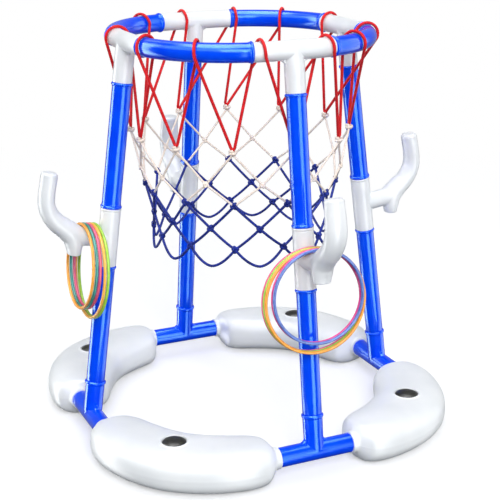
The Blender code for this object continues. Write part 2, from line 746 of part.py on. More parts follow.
def skin_net(name, strands):
    """Knotted cord net: each strand is a list of (point, radius), joined where points are shared."""
    shape = bmesh.new()
    made = {}
    radii = []
    for strand in strands:
        verts = []
        for point, radius in strand:
            key = tuple(round(value, 6) for value in point)
            if key not in made:
                made[key] = shape.verts.new(point)
                radii.append(radius)
            verts.append(made[key])
        for first, second in zip(verts, verts[1:]):
            shape.edges.new((first, second))
    mesh = bpy.data.meshes.new(name)
    shape.to_mesh(mesh)
    shape.free()
    obj = add_helper(name, mesh)
    skin = obj.modifiers.new("skin", "SKIN")
    skin.branch_smoothing = 0
    for layer, radius in zip(mesh.skin_vertices[0].data, radii):
        layer.radius = (radius, radius)
    return obj


def hung_net(name, strands):
    """The skinned net, finished, with each point moved to where the net hangs."""
    mesh = bake(skin_net(name, strands))
    shape = bmesh.new()
    shape.from_mesh(mesh)
    # The skin cuts each straight strand into short lengths, which are joined up again
    bmesh.ops.dissolve_limit(shape, angle_limit=radians(1), verts=shape.verts, edges=shape.edges)
    for vertex in shape.verts:
        vertex.co = hung(vertex.co)
    shape.to_mesh(mesh)
    shape.free()
    return smooth(mesh)


def strand_between(start, end, knot_at_end=True):
    """A straight strand from a knot, thick in its knots; it can stop short of the next colour's knot."""
    way = (end - start).normalized()
    line = [(start, KNOT_RADIUS), (start + way * KNOT_REACH, MESH_CORD_RADIUS)]
    if knot_at_end:
        line.append((end - way * KNOT_REACH, MESH_CORD_RADIUS))
        line.append((end, KNOT_RADIUS))
    else:
        line.append((end - way * KNOT_CLEARANCE, MESH_CORD_RADIUS))
    return line


def upper_net_strands():
    """Cream strands from the knots under the hanging loops down to the first navy knots."""
    strands = []
    drop = Vector((0, 0, CORD_RADIUS + KNOT_RADIUS + 2 * FIT_GAP))
    for column in range(NET_COLUMNS):
        top = net_point("loop", column) - drop
        for knot in (net_point("cream", column), net_point("cream", (column - 1) % NET_COLUMNS)):
            strands.append(strand_between(top, knot))
        middle = net_point("cream", column)
        for knot in (net_point("change", column), net_point("change", (column + 1) % NET_COLUMNS)):
            strands.append(strand_between(middle, knot, knot_at_end=False))
    return strands


def lower_net_strands():
    """Navy strands from the first navy knots to the scalloped bottom edge."""
    strands = []
    for column in range(NET_COLUMNS):
        middle = net_point("middle", column)
        following = (column + 1) % NET_COLUMNS
        for row in ("change", "low"):
            for other in (column, following):
                strands.append(strand_between(net_point(row, other), middle))
        start = net_point("low", column)
        end = net_point("low", following)
        bottom = net_point("scallop", column)
        scallop = [(start, KNOT_RADIUS)]
        for share in SCALLOP_SHARES:
            point = start.lerp(end, (share + 1) / 2)
            spread = bottom.xy.length / start.lerp(end, 0.5).xy.length
            outward = 1 + (spread - 1) * (1 - share * share)
            height = bottom.z + (start.z - bottom.z) * share * share
            scallop.append((Vector((point.x * outward, point.y * outward, height)), MESH_CORD_RADIUS))
        scallop.append((end, KNOT_RADIUS))
        strands.append(scallop)
    return strands


def build_frame():
    """Legs, tees and hooks, four of each."""
    ring_tee, upper_leg, hook_tee = ring_tee_mesh(), upper_leg_mesh(), hook_tee_mesh()
    lower_leg, base_tee = lower_leg_mesh(), base_tee_mesh()
    hooks = {}
    for name, azimuth in LEGS.items():
        leg = leg_frame(name, azimuth)
        place("ring_tee_" + name, ring_tee, WHITE, leg, Matrix.Translation((0, 0, LEG_LENGTH)))
        place("upper_leg_" + name, upper_leg, BLUE, leg)
        hooks[name] = place("hook_tee_" + name, hook_tee, WHITE, leg, Matrix.Translation((0, 0, HOOK_MIDDLE)))
        place("lower_leg_" + name, lower_leg, BLUE, leg)
        place("base_tee_" + name, base_tee, BLUE, leg)
    return hooks


def build_ring_and_floats():
    """Ring arcs, floats and plugs, which lie between the legs."""
    arc, body, plug = ring_arc_mesh(), float_mesh(), plug_mesh()
    for name, azimuth in QUARTERS.items():
        quarter = quarter_frame(name, azimuth)
        place("ring_arc_" + name, arc, BLUE, quarter, Matrix.Translation((0, 0, RING_RISE)))
        place("float_" + name, body, WHITE, quarter)
        seat = (PLUG_OUT, 0, PLUG_LIFT + FIT_GAP)
        place("float_plug_" + name, plug, RUBBER, quarter, Matrix.Translation(seat))


def build_net():
    """Red hanging loops, then the cream and navy parts of the knotted net."""
    points = hanging_loop_points()
    loops = bake(tube("net_loops", points, CORD_RADIUS, sides=6, closed=True))
    place("net_hanging_loops", smooth(loops), RED_CORD)
    print(f"hanging loops: least gap {1000 * least_gap(points, 2 * CORD_RADIUS, 0.03):.2f} mm")
    place("net_upper_mesh", hung_net("net_upper", upper_net_strands()), CREAM_CORD)
    place("net_lower_mesh", hung_net("net_lower", lower_net_strands()), NAVY_CORD)


def build_toss_rings(hooks):
    """Five toss rings on two of the hooks, outermost last."""
    for leg, (turn, rings) in TOSS_BUNCHES.items():
        for i, (colour, radius) in enumerate(rings):
            place_at = Matrix.Translation((TOSS_FIRST + TOSS_STEP * i, 0, 0)) @ Matrix.Rotation(turn, 4, "Z")
            name = f"toss_ring_{leg}_{i + 1}"
            place(name, toss_ring_mesh(radius), TOSS_COLOURS[colour], hooks[leg], place_at)


hook_objects = build_frame()
build_ring_and_floats()
build_net()
build_toss_rings(hook_objects)
print(f"leg lean {degrees(LEG_LEAN):.2f} degrees, leg length {1000 * LEG_LENGTH:.1f} mm")
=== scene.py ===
from math import acos, asin, atan2, copysign, cos, degrees, hypot, pi, radians, sin, sqrt, tan

import bmesh
import bpy
from mathutils import Matrix, Vector


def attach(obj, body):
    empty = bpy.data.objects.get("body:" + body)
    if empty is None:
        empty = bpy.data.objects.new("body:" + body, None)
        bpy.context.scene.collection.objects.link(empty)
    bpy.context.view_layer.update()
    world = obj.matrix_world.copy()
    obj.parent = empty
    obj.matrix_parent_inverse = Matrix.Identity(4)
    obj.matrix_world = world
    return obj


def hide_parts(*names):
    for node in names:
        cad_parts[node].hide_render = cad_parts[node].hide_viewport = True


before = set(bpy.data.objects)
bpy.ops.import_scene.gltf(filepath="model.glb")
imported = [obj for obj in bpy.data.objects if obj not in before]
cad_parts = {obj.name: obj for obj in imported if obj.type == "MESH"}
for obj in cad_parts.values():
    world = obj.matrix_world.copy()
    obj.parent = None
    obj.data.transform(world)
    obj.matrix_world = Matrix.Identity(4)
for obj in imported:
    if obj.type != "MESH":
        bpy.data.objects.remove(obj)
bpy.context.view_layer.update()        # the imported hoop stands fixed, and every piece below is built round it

# Places of the hoop's parts, in metres, the same as in the solids
hoop = {
    "ringRadius": 0.1705,     # middle of the hoop to each white ring tee
    "ringStraight": 0.028,    # half of the straight middle of a ring tee
    "ringRise": 0.5428,       # hoop above the base tees
    "footRadius": 0.2422,     # middle of the hoop to each base tee
    "teeHeight": 0.0325,      # base tees above the ground
    "teeHalf": 0.0569,        # middle of a ring tee to the end of its bar
    "fitGap": 0.0003,         # between a spigot's shoulder and the tube's end
    "spigotRadius": 0.0112,
    "spigotLength": 0.024,
}
legAzimuths = {"right": 0, "back": 90, "left": 180, "front": 270}
quarterAzimuths = {"back_right": 45, "back_left": 135, "front_left": 225, "front_right": 315}

legRun = hoop["footRadius"] - hoop["ringRadius"]
legLean = atan2(legRun, hoop["ringRise"])
legLength = hypot(legRun, hoop["ringRise"])
ringHeight = hoop["teeHeight"] + hoop["ringRise"]
cornerRadius = hoop["ringRadius"] - hoop["ringStraight"]
teeEndAngle = asin((hoop["teeHalf"] - hoop["ringStraight"]) / cornerRadius)


def legFrame(azimuth):
    # Z runs up the leaning leg from its foot, and X points outwards
    foot = Vector((hoop["footRadius"], 0, hoop["teeHeight"]))
    lean = Matrix.Rotation(-legLean, 4, "Y")
    return Matrix.Rotation(radians(azimuth), 4, "Z") @ Matrix.Translation(foot) @ lean


def quarterFrame(azimuth):
    # on the base tees' plane, with X out through a float
    return Matrix.Translation((0, 0, hoop["teeHeight"])) @ Matrix.Rotation(radians(azimuth), 4, "Z")


# Meshes are built from rings of points, each ring with a middle, two directions across it and a radius

def facesBetween(rings, sides, closed=False):
    # faces that join one ring's points to the next one's, with a cap on each end of an open row
    faces = []
    for ring in range(rings if closed else rings - 1):
        here, there = ring * sides, (ring + 1) % rings * sides
        for i in range(sides):
            j = (i + 1) % sides
            faces.append((here + i, here + j, there + j, there + i))
    if not closed:
        faces.append(tuple(range(sides))[::-1])
        faces.append(tuple((rings - 1) * sides + i for i in range(sides)))
    return faces


def skinRings(rings, sides, closed=False, outline=None):
    points = []
    for index, (middle, across, up, radius) in enumerate(rings):
        for i in range(sides):
            turn = 2 * pi * i / sides
            reach = radius * (outline(turn, index) if outline else 1)
            points.append(middle + across * (reach * cos(turn)) + up * (reach * sin(turn)))
    return points, facesBetween(len(rings), sides, closed)


def turnedRings(profile):
    # rings round Z from (height, radius) pairs
    across, up = Vector((1, 0, 0)), Vector((0, 1, 0))
    return [(Vector((0, 0, height)), across, up, radius) for height, radius in profile]


def pathRings(points, radii, closed=False):
    # rings carried along a path without twisting; a closed path's leftover turn is spread evenly
    count = len(points)
    ways = []
    for i in range(count):
        before = points[i - 1] if closed or i else points[i]
        after = points[(i + 1) % count] if closed or i < count - 1 else points[i]
        ways.append((after - before).normalized())
    side = ways[0].orthogonal().normalized()
    sides = [side]
    for first, second in zip(ways, ways[1:] + ways[:1]):
        side = first.rotation_difference(second) @ side
        side = (side - second * side.dot(second)).normalized()
        sides.append(side)
    spare = 0.0
    if closed:
        last, start = sides[-1], sides[0]
        spare = atan2(ways[0].dot(last.cross(start)), last.dot(start))
    rings = []
    for i in range(count):
        across = Matrix.Rotation(spare * i / count, 3, ways[i]) @ sides[i]
        rings.append((points[i], across, ways[i].cross(across), radii[i]))
    return rings


def curvedPath(points, steps, closed=False):
    # smooth line through the points, as Catmull-Rom spans
    path = []
    count = len(points)
    for i in range(count if closed else count - 1):
        a = points[i - 1] if closed or i else points[i]
        b = points[i]
        c = points[(i + 1) % count]
        d = points[(i + 2) % count] if closed or i < count - 2 else c
        for j in range(steps):
            t = j / steps
            path.append(b + (c - a) * (t / 2) + (a * 2 - b * 5 + c * 4 - d) * (t * t / 2)
                        + (b * 3 - a - c * 3 + d) * (t * t * t / 2))
    if not closed:
        path.append(points[-1])
    return path


def easedThrough(stations, share):
    # smooth values between rows of (share, value, value...)
    vectors = [Vector(row) for row in stations]
    rows = len(vectors)
    for i in range(rows - 1):
        if share <= vectors[i + 1][0] or i == rows - 2:
            low, high = vectors[i], vectors[i + 1]
            t = (share - low[0]) / (high[0] - low[0])
            slopes = []
            for k in (i, i + 1):
                before, after = vectors[max(k - 1, 0)], vectors[min(k + 1, rows - 1)]
                slopes.append((after - before) / (after[0] - before[0]) * (high[0] - low[0]))
            square, cube = t * t, t * t * t
            return (low * (2 * cube - 3 * square + 1) + slopes[0] * (cube - 2 * square + t)
                    + high * (3 * square - 2 * cube) + slopes[1] * (cube - square))


def joinShapes(*shapes):
    points, faces = [], []
    for shapePoints, shapeFaces in shapes:
        start = len(points)
        points += list(shapePoints)
        faces += [tuple(start + i for i in face) for face in shapeFaces]
    return points, faces


def makeMesh(name, shape, sharpAngle=38):
    points, faces = shape
    mesh = bpy.data.meshes.new(name)
    mesh.from_pydata([tuple(point) for point in points], [], faces)
    build = bmesh.new()
    build.from_mesh(mesh)
    bmesh.ops.remove_doubles(build, verts=build.verts, dist=0.0000005)
    bmesh.ops.recalc_face_normals(build, faces=build.faces)
    build.to_mesh(mesh)
    build.free()
    mesh.shade_smooth()
    mesh.set_sharp_from_angle(angle=radians(sharpAngle))
    return mesh


def mergedMesh(name, *meshes):
    build = bmesh.new()
    for mesh in meshes:
        build.from_mesh(mesh)
    made = bpy.data.meshes.new(name)
    build.to_mesh(made)
    build.free()
    made.shade_smooth()
    made.set_sharp_from_angle(angle=radians(38))
    return made


def makeObject(name, mesh, matrix=None):
    made = bpy.data.objects.new(name, mesh)
    bpy.context.scene.collection.objects.link(made)
    if matrix:
        made.matrix_world = matrix
    return made


def appliedMesh(made):
    # the object's mesh with its modifiers in it; the object itself goes
    bpy.context.view_layer.update()
    graph = bpy.context.evaluated_depsgraph_get()
    mesh = bpy.data.meshes.new_from_object(made.evaluated_get(graph))
    bpy.data.objects.remove(made)
    return mesh


def meltTogether(name, shape, voxel, smoothing):
    # one skin over shapes that run into each other, with soft inner corners like a moulding's
    made = makeObject(name, makeMesh(name, shape))
    melt = made.modifiers.new("melt", "REMESH")
    melt.mode = "VOXEL"
    melt.voxel_size = voxel
    ease = made.modifiers.new("ease", "SMOOTH")
    ease.factor = 0.5
    ease.iterations = smoothing
    return appliedMesh(made)


def cutAway(name, mesh, cutters):
    made = makeObject(name, mesh)
    helpers = []
    for cutter in cutters:
        helper = makeObject("cutter", makeMesh("cutter", cutter))
        cut = made.modifiers.new("cut", "BOOLEAN")
        cut.operation = "DIFFERENCE"
        cut.solver = "EXACT"
        cut.object = helper
        helpers.append(helper)
    result = appliedMesh(made)
    for helper in helpers:
        bpy.data.objects.remove(helper)
    return result


def placedMesh(mesh, matrix):
    # a copy with its place in its points, so that its own box lies square to the hoop's
    placed = mesh.copy()
    placed.transform(matrix)
    return placed


def addPiece(name, mesh, material, body, node, matrix=None):
    piece = makeObject(name, mesh, matrix)
    if not mesh.materials:
        mesh.materials.append(material)
    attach(piece, body)
    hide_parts(node)
    return piece


# Materials

def linear(hexColour):
    # sRGB hex to Blender's linear colour
    values = [int(hexColour[i:i + 2], 16) / 255 for i in (1, 3, 5)]
    return (*[v / 12.92 if v <= 0.04045 else ((v + 0.055) / 1.055) ** 2.4 for v in values], 1)


def addNode(tree, kind, inputs=None, **settings):
    # each input takes a value, or the output of another node
    made = tree.nodes.new(kind)
    for name, value in settings.items():
        setattr(made, name, value)
    for socket, value in (inputs or {}).items():
        if isinstance(value, bpy.types.NodeSocket):
            tree.links.new(value, made.inputs[socket])
        else:
            made.inputs[socket].default_value = value
    return made


def madeMaterial(name, look, light, deep):
    # A colour that drifts between light and deep, a gloss that varies, and a slight bump, all from noise.
    # "cloud", "grain" and "wave" are noises: size of their features in mm, and detail
    material = bpy.data.materials.new(name)
    material.use_nodes = True
    tree = material.node_tree
    shader = tree.nodes["Principled BSDF"]
    for socket, value in look["sockets"].items():
        shader.inputs[socket].default_value = value
    place = addNode(tree, "ShaderNodeTexCoord").outputs["Object"]
    noises = {}
    for kind in ("cloud", "grain", "wave"):
        if kind not in look:
            continue
        size, detail = look[kind]
        way = place
        if kind == "grain" and "drawnOut" in look:
            scale = (1, 1, 1 / look["drawnOut"])
            way = addNode(tree, "ShaderNodeMapping", {"Vector": place, "Scale": scale}).outputs["Vector"]
        noise = addNode(tree, "ShaderNodeTexNoise", {"Vector": way, "Scale": 1000 / size, "Detail": detail})
        noises[kind] = noise.outputs["Fac"]
    tint, low, high = noises["cloud"], 0.35, 0.65
    if "fibres" in look:
        low, high = look["fibres"]
        tint = addNode(tree, "ShaderNodeMix", {"Factor": 0.5, "A": noises["grain"], "B": noises["cloud"]})
        tint = tint.outputs["Result"]
    ramp = addNode(tree, "ShaderNodeValToRGB", {"Fac": tint})
    for element, position, colour in zip(ramp.color_ramp.elements, (low, high), (deep, light)):
        element.position = position
        element.color = linear(colour)
    tree.links.new(ramp.outputs["Color"], shader.inputs["Base Color"])
    kind, smooth, rough = look["gloss"]
    gloss = addNode(tree, "ShaderNodeMapRange", {"Value": noises[kind], "From Min": 0.3, "From Max": 0.7,
                                                 "To Min": smooth, "To Max": rough})
    tree.links.new(gloss.outputs["Result"], shader.inputs["Roughness"])
    under = {}
    for kind, strength, depth in look["bumps"]:
        bump = addNode(tree, "ShaderNodeBump", {"Height": noises[kind], "Strength": strength,
                                                "Distance": depth, **under})
        under = {"Normal": bump.outputs["Normal"]}
    tree.links.new(under["Normal"], shader.inputs["Normal"])
    return material


# Polypropylene, extruded as tube: glossy, with faint die lines that run along it
extrudedPolypropylene = {
    "sockets": {"IOR": 1.49, "Specular Tint": linear("#AAFFFF")},
    "cloud": (26, 3),
    "grain": (0.9, 2),
    "drawnOut": 100,
    "gloss": ("grain", 0.11, 0.20),     # noise that it follows, roughness from and to
    "bumps": (("grain", 0.25, 0.00003),),     # noise, strength, depth in metres
}
tubeBlue = madeMaterial("blueExtrudedPolypropylene", extrudedPolypropylene, "#004FFF", "#0043FA")

# Polypropylene, injection moulded: the same blue, with the faint ripple of a polished mould
mouldedPolypropylene = {
    "sockets": {"IOR": 1.49, "Specular Tint": linear("#AAFFFF")},
    "cloud": (20, 3),
    "grain": (5, 2),
    "gloss": ("cloud", 0.12, 0.19),
    "bumps": (("grain", 0.2, 0.00006),),
}
mouldedBlue = madeMaterial("blueMouldedPolypropylene", mouldedPolypropylene, "#004FFF", "#0043FA")

# ABS, injection moulded: satin white, with a very fine spark-eroded grain
mouldedAbs = {
    "sockets": {"IOR": 1.54, "Specular IOR Level": 0.34},
    "cloud": (34, 4),
    "grain": (0.7, 3),
    "gloss": ("grain", 0.29, 0.4),
    "bumps": (("grain", 0.2, 0.00004),),
}
mouldedWhite = madeMaterial("whiteMouldedAbs", mouldedAbs, "#ECEFF2", "#E5E9ED")

# High-density polyethylene, blow moulded: waxy white with slow waves where the wall cooled unevenly
blownPolyethylene = {
    "sockets": {"IOR": 1.54, "Specular IOR Level": 0.34},
    "cloud": (60, 3),
    "grain": (1.1, 2),
    "wave": (22, 1),
    "gloss": ("cloud", 0.32, 0.42),
    "bumps": (("wave", 0.35, 0.0005), ("grain", 0.3, 0.00005)),
}
floatWhite = madeMaterial("whiteBlownPolyethylene", blownPolyethylene, "#F3F6F8", "#ECF0F3")

# Soft vinyl, moulded: near-black with a dull skin
softVinyl = {
    "sockets": {"IOR": 1.5, "Specular IOR Level": 0.28},
    "cloud": (9, 3),
    "grain": (0.6, 2),
    "gloss": ("grain", 0.27, 0.4),
    "bumps": (("grain", 0.3, 0.00005),),
}
plugBlack = madeMaterial("blackSoftVinyl", softVinyl, "#232320", "#141413")


# Polyester cord, twisted from three strands: soft sheen, and short darker fibres between lighter ones.
# Real fibres are far too fine to show, so they are drawn about 0.8 mm wide
def twistedPolyester(name, light, deep, sheen):
    look = {
        "sockets": {"IOR": 1.55, "Specular IOR Level": 0.24, "Sheen Weight": sheen, "Sheen Roughness": 0.5},
        "cloud": (7, 2),
        "grain": (0.8, 3),
        "fibres": (0.38, 0.6),     # where the colour turns from deep to light, over grain and cloud together
        "gloss": ("grain", 0.55, 0.7),
        "bumps": (("grain", 0.5, 0.00012),),
    }
    return madeMaterial(name, look, light, deep)


redCord = twistedPolyester("redTwistedPolyester", "#DF131D", "#B80811", 0.04)
creamCord = twistedPolyester("creamTwistedPolyester", "#F7EDE3", "#EBDACB", 0.12)
navyCord = twistedPolyester("navyTwistedPolyester", "#062488", "#03145C", 0.02)

# Polyethylene tube for the toss rings: clean dyed colour, satin, with a slight drawn ripple
dyedPolyethylene = {
    "sockets": {"IOR": 1.51},
    "cloud": (12, 2),
    "grain": (2.2, 2),
    "gloss": ("grain", 0.28, 0.38),
    "bumps": (("grain", 0.25, 0.00006),),
}
tossColours = {
    "orange": ("#FBAE40", "#F19C2C"),
    "yellow": ("#FFC65A", "#F4B036"),
    "lime": ("#AEDB4A", "#8FCB34"),
    "teal": ("#3F9C92", "#2B7F78"),
    "pink": ("#EC6488", "#DF5077"),
    "magenta": ("#EC4C9B", "#DB3384"),
    "light_blue": ("#5F7CC6", "#4A66B2"),
}
tossMaterials = {}
for name, (light, deep) in tossColours.items():
    title = name.replace("_b", "B") + "DyedPolyethylene"
    tossMaterials[name] = madeMaterial(title, dyedPolyethylene, light, deep)
print("materials made")


# The hoop: four blue arcs and four white tees

def ringCorner(angle):
    middle = hoop["ringStraight"]
    return Vector((middle + cornerRadius * cos(angle), middle + cornerRadius * sin(angle), 0))


ringArc = {
    "sides": 72,
    "boreRadius": 0.0115,
    "tubeRadius": 0.0130,
    "spans": 34,
    # flared end with two raised lines: distance from the end, radius
    "end": ((0, 0.01340), (0.0003, 0.01400), (0.0009, 0.01445), (0.0017, 0.01460), (0.0025, 0.01440),
            (0.0030, 0.01380), (0.0035, 0.01335), (0.0041, 0.01360), (0.0048, 0.01360), (0.0055, 0.01320),
            (0.0064, 0.01302)),
}


def ringArcShape():
    start = teeEndAngle + 2 * hoop["fitGap"] / cornerRadius
    end = pi / 2 - start
    near = [(start + run / cornerRadius, radius) for run, radius in ringArc["end"]]
    far = [(end - run / cornerRadius, radius) for run, radius in reversed(ringArc["end"])]
    first, last = near[-1][0], far[0][0]
    spans = ringArc["spans"]
    middle = [(first + (last - first) * i / spans, ringArc["tubeRadius"]) for i in range(1, spans)]
    bore = [(end - (end - start) * i / spans, ringArc["boreRadius"]) for i in range(spans + 1)]
    rings = []
    for angle, radius in near + middle + far + bore:
        rings.append((ringCorner(angle), Vector((cos(angle), sin(angle), 0)), Vector((0, 0, 1)), radius))
    return skinRings(rings, ringArc["sides"], closed=True)


ringArcMesh = makeMesh("ringArc", ringArcShape())
for name, azimuth in quarterAzimuths.items():
    # the corner is drawn past the +X tee, so it is turned back to lie across +X
    turnBack = Matrix.Rotation(-pi / 4, 4, "Z")
    place = quarterFrame(azimuth) @ Matrix.Translation((0, 0, hoop["ringRise"])) @ turnBack
    addPiece("ringArc_" + name, placedMesh(ringArcMesh, place), mouldedBlue, "frame",
             "ring_arc_" + name)


def crossShape(sides, radius, wedge, stemSign, barRings, stemRings):
    # A bar along Y with a stem along Z that is as thick: they meet in a V on each face. The stem's foot
    # spreads along the bar by the wedge. barRings gives the rings of one side, and takes 1 or -1 for which
    half = sides // 2
    points, faces = [], []
    upright = Vector((0, 0, stemSign))

    def addRing(middle, across, up, ringRadius):
        start = len(points)
        for i in range(sides):
            turn = 2 * pi * i / sides
            points.append(middle + across * (ringRadius * cos(turn)) + up * (ringRadius * sin(turn)))
        return [start + i for i in range(sides)]

    def bridge(first, second):
        for i in range(sides):
            j = (i + 1) % sides
            faces.append((first[i], first[j], second[j], second[i]))

    middleRing = addRing(Vector(), Vector((1, 0, 0)), upright, radius)
    seams = {}
    for side in (1, -1):
        seam = list(middleRing)
        for i in range(1, half):
            turn = 2 * pi * i / sides
            out, along = radius * cos(turn), radius * sin(turn)
            spread = 1 + (wedge - 1) * sin(turn) ** 2
            points.append(Vector((out, side * spread * along, stemSign * along)))
            seam[i] = len(points) - 1
        seams[side] = seam
        last = seam
        for ring in barRings(side):
            made = addRing(*ring)
            bridge(last, made)
            last = made
        faces.append(tuple(last))
    # the stem's rings go round Z, first along the +Y seam and then back along the -Y one
    last = [seams[1][i] for i in range(half + 1)] + [seams[-1][i] for i in range(half - 1, 0, -1)]
    for middle, ringRadius in stemRings:
        made = addRing(Vector((0, 0, middle)), Vector((1, 0, 0)), Vector((0, 1, 0)), ringRadius)
        bridge(last, made)
        last = made
    faces.append(tuple(last))
    used = {i for face in faces for i in face}
    order = {old: new for new, old in enumerate(sorted(used))}
    return [points[i] for i in sorted(used)], [tuple(order[i] for i in face) for face in faces]


# A bar's end is rounded by one edge width: share of the width still to go, share cut from the radius
endRounding = ((1, 0), (0.3, 0.3), (0, 1))


def cornerWebs(radius, alongBar, alongStem, thick, stemSign):
    # a small moulded web in each corner between a bar and its stem, with a hollow curved edge
    shapes = []
    edge, half, root, steps = 0.0007, thick / 2, radius * 0.4, 8
    layers = ((-half, edge), (edge - half, 0), (half - edge, 0), (half, edge))
    for side in (1, -1):
        points = []
        for x, inset in layers:
            outline = [(root, root), (radius + alongBar, root)]
            for i in range(steps + 1):
                # half way between a quarter circle and a straight line
                turn = pi / 2 * i / steps
                along = (1 - sin(turn) + 1 - i / steps) / 2
                up = (1 - cos(turn) + i / steps) / 2
                outline.append((radius - inset + alongBar * along, radius - inset + alongStem * up))
            outline.append((root, radius + alongStem))
            points += [Vector((x, side * y, stemSign * z)) for y, z in outline]
        shapes.append((points, facesBetween(len(layers), len(points) // len(layers))))
    return joinShapes(*shapes)


ringTee = {
    "sides": 72,
    "radius": 0.0131,
    "straightRings": (0.0202, 0.0240),     # rings along the bar before it bends
    # stem below the bar: distance from the bar's axis, radius
    "stem": ((0.0145, 0.01335), (0.0175, 0.0136), (0.0210, 0.0137)),
    "stemRadius": 0.0137,
    "stemNeck": 0.012,        # the stem's last ring stands this far above its end
    "wedge": 1.02,            # how far the stem's foot spreads along the bar
    "web": (0.0065, 0.0056, 0.0050),     # webs in the corners: along the bar, down the stem, thickness
    "edge": 0.0005,           # rounding of the open ends
    "spans": 16,
    "spigotInArc": 0.014,
    "spigotInArcRadius": 0.0111,
    "stemEnd": 0.4913,        # height along the leg where the stem stops
}


def ringTeeShape():
    radius, edge = ringTee["radius"], ringTee["edge"]
    tilt = Matrix.Rotation(legLean, 3, "Y")
    reach = teeEndAngle

    def barRings(side):
        straight = (*ringTee["straightRings"], hoop["ringStraight"])
        spigot = reach + ringTee["spigotInArc"] / cornerRadius
        inner = ringTee["spigotInArcRadius"]
        bent = [(reach * i / ringTee["spans"], radius) for i in range(1, ringTee["spans"])]
        bent += [(reach - edge * left / cornerRadius, radius - edge * cut) for left, cut in endRounding]
        bent += [(reach, inner), (spigot, inner)]
        across, up = Vector((1, 0, 0)), Vector((0, 0, -1))
        rings = [(Vector((0, side * y, 0)), across, up, radius) for y in straight]
        for angle, ringRadius in bent:
            corner = ringCorner(angle)
            middle = tilt @ Vector((corner.x - hoop["ringRadius"], corner.y, 0))
            outward = tilt @ Vector((cos(angle), sin(angle), 0))
            upward = tilt @ Vector((0, 0, 1))
            ringAcross = outward * cos(legLean) + upward * sin(legLean)
            ringUp = outward * sin(legLean) - upward * cos(legLean)
            flip = Vector((1, side, 1))
            rings.append((middle * flip, ringAcross * flip, ringUp * flip, ringRadius))
        return rings

    stemEnd = -(legLength - ringTee["stemEnd"])
    stemRadius, spigot = ringTee["stemRadius"], hoop["spigotRadius"]
    stem = [(-run, ringRadius) for run, ringRadius in ringTee["stem"]]
    stem += [(stemEnd + ringTee["stemNeck"], stemRadius), (stemEnd + edge, stemRadius),
             (stemEnd, stemRadius - edge), (stemEnd, spigot), (stemEnd - hoop["spigotLength"], spigot)]
    cross = crossShape(ringTee["sides"], radius, ringTee["wedge"], -1, barRings, stem)
    return joinShapes(cross, cornerWebs(radius, *ringTee["web"], -1))


ringTeeMesh = makeMesh("ringTee", ringTeeShape(), 20)
for name, azimuth in legAzimuths.items():
    place = legFrame(azimuth) @ Matrix.Translation((0, 0, legLength))
    addPiece("ringTee_" + name, ringTeeMesh, mouldedWhite, "frame", "ring_tee_" + name,
             place)
print("hoop made")


# The legs: an upper and a lower tube, the hook tee between them and the base tee below.
# Heights are measured along the leg from the base tee's axis
legTube = {
    "sides": 72,
    "radius": 0.0135,
    "bore": 0.0120,
    "neck": 0.0118,
    "neckBore": 0.0103,
    "upperTop": 0.4910,
    "upperFoot": 0.3138,
    "lowerTop": 0.2292,
    "lowerFoot": 0.0541,
    # plain foot of a lower tube: distance above the foot, radius
    "foot": ((0, 0.0129), (0.0002, 0.0133), (0.0006, 0.0135)),
    # flared top: distance below the top, radius
    "flare": ((0, 0.01390), (0.0003, 0.01450), (0.0010, 0.01500), (0.0020, 0.01515), (0.0030, 0.01500),
              (0.0036, 0.01450), (0.0041, 0.01390), (0.0046, 0.01368), (0.0052, 0.01378), (0.0058, 0.01376),
              (0.0064, 0.01355), (0.0072, 0.01350)),
    # collar that stands on the sleeve: distance above the foot, radius
    "collar": ((0, 0.01410), (0.0003, 0.01470), (0.0010, 0.01510), (0.0020, 0.01525), (0.0030, 0.01510),
               (0.0036, 0.01460), (0.0041, 0.01400), (0.0046, 0.01375), (0.0052, 0.01390), (0.0058, 0.01390),
               (0.0064, 0.01360), (0.0072, 0.01350)),
}


def legTubeShape(top, foot, collared):
    flare = [(top - run, radius) for run, radius in legTube["flare"]]
    low = [(foot + run, radius) for run, radius in reversed(legTube["collar" if collared else "foot"])]
    start, end = flare[-1][0], low[0][0]
    middle = [(start + (end - start) * i / 8, legTube["radius"]) for i in range(1, 8)]
    neckEnd = foot - hoop["spigotLength"]
    neck = [(foot, legTube["neck"]), (neckEnd, legTube["neck"]), (neckEnd, legTube["neckBore"]),
            (foot + 0.003, legTube["neckBore"]), (foot + 0.007, legTube["bore"]), (top, legTube["bore"])]
    return skinRings(turnedRings(flare + middle + low + neck), legTube["sides"], closed=True)


upperLegMesh = makeMesh("upperLeg", legTubeShape(legTube["upperTop"], legTube["upperFoot"], True))
lowerLegMesh = makeMesh("lowerLeg", legTubeShape(legTube["lowerTop"], legTube["lowerFoot"], False))
for name, azimuth in legAzimuths.items():
    place = legFrame(azimuth)
    addPiece("upperLeg_" + name, upperLegMesh, tubeBlue, "frame", "upper_leg_" + name, place)
    addPiece("lowerLeg_" + name, lowerLegMesh, tubeBlue, "frame", "lower_leg_" + name, place)


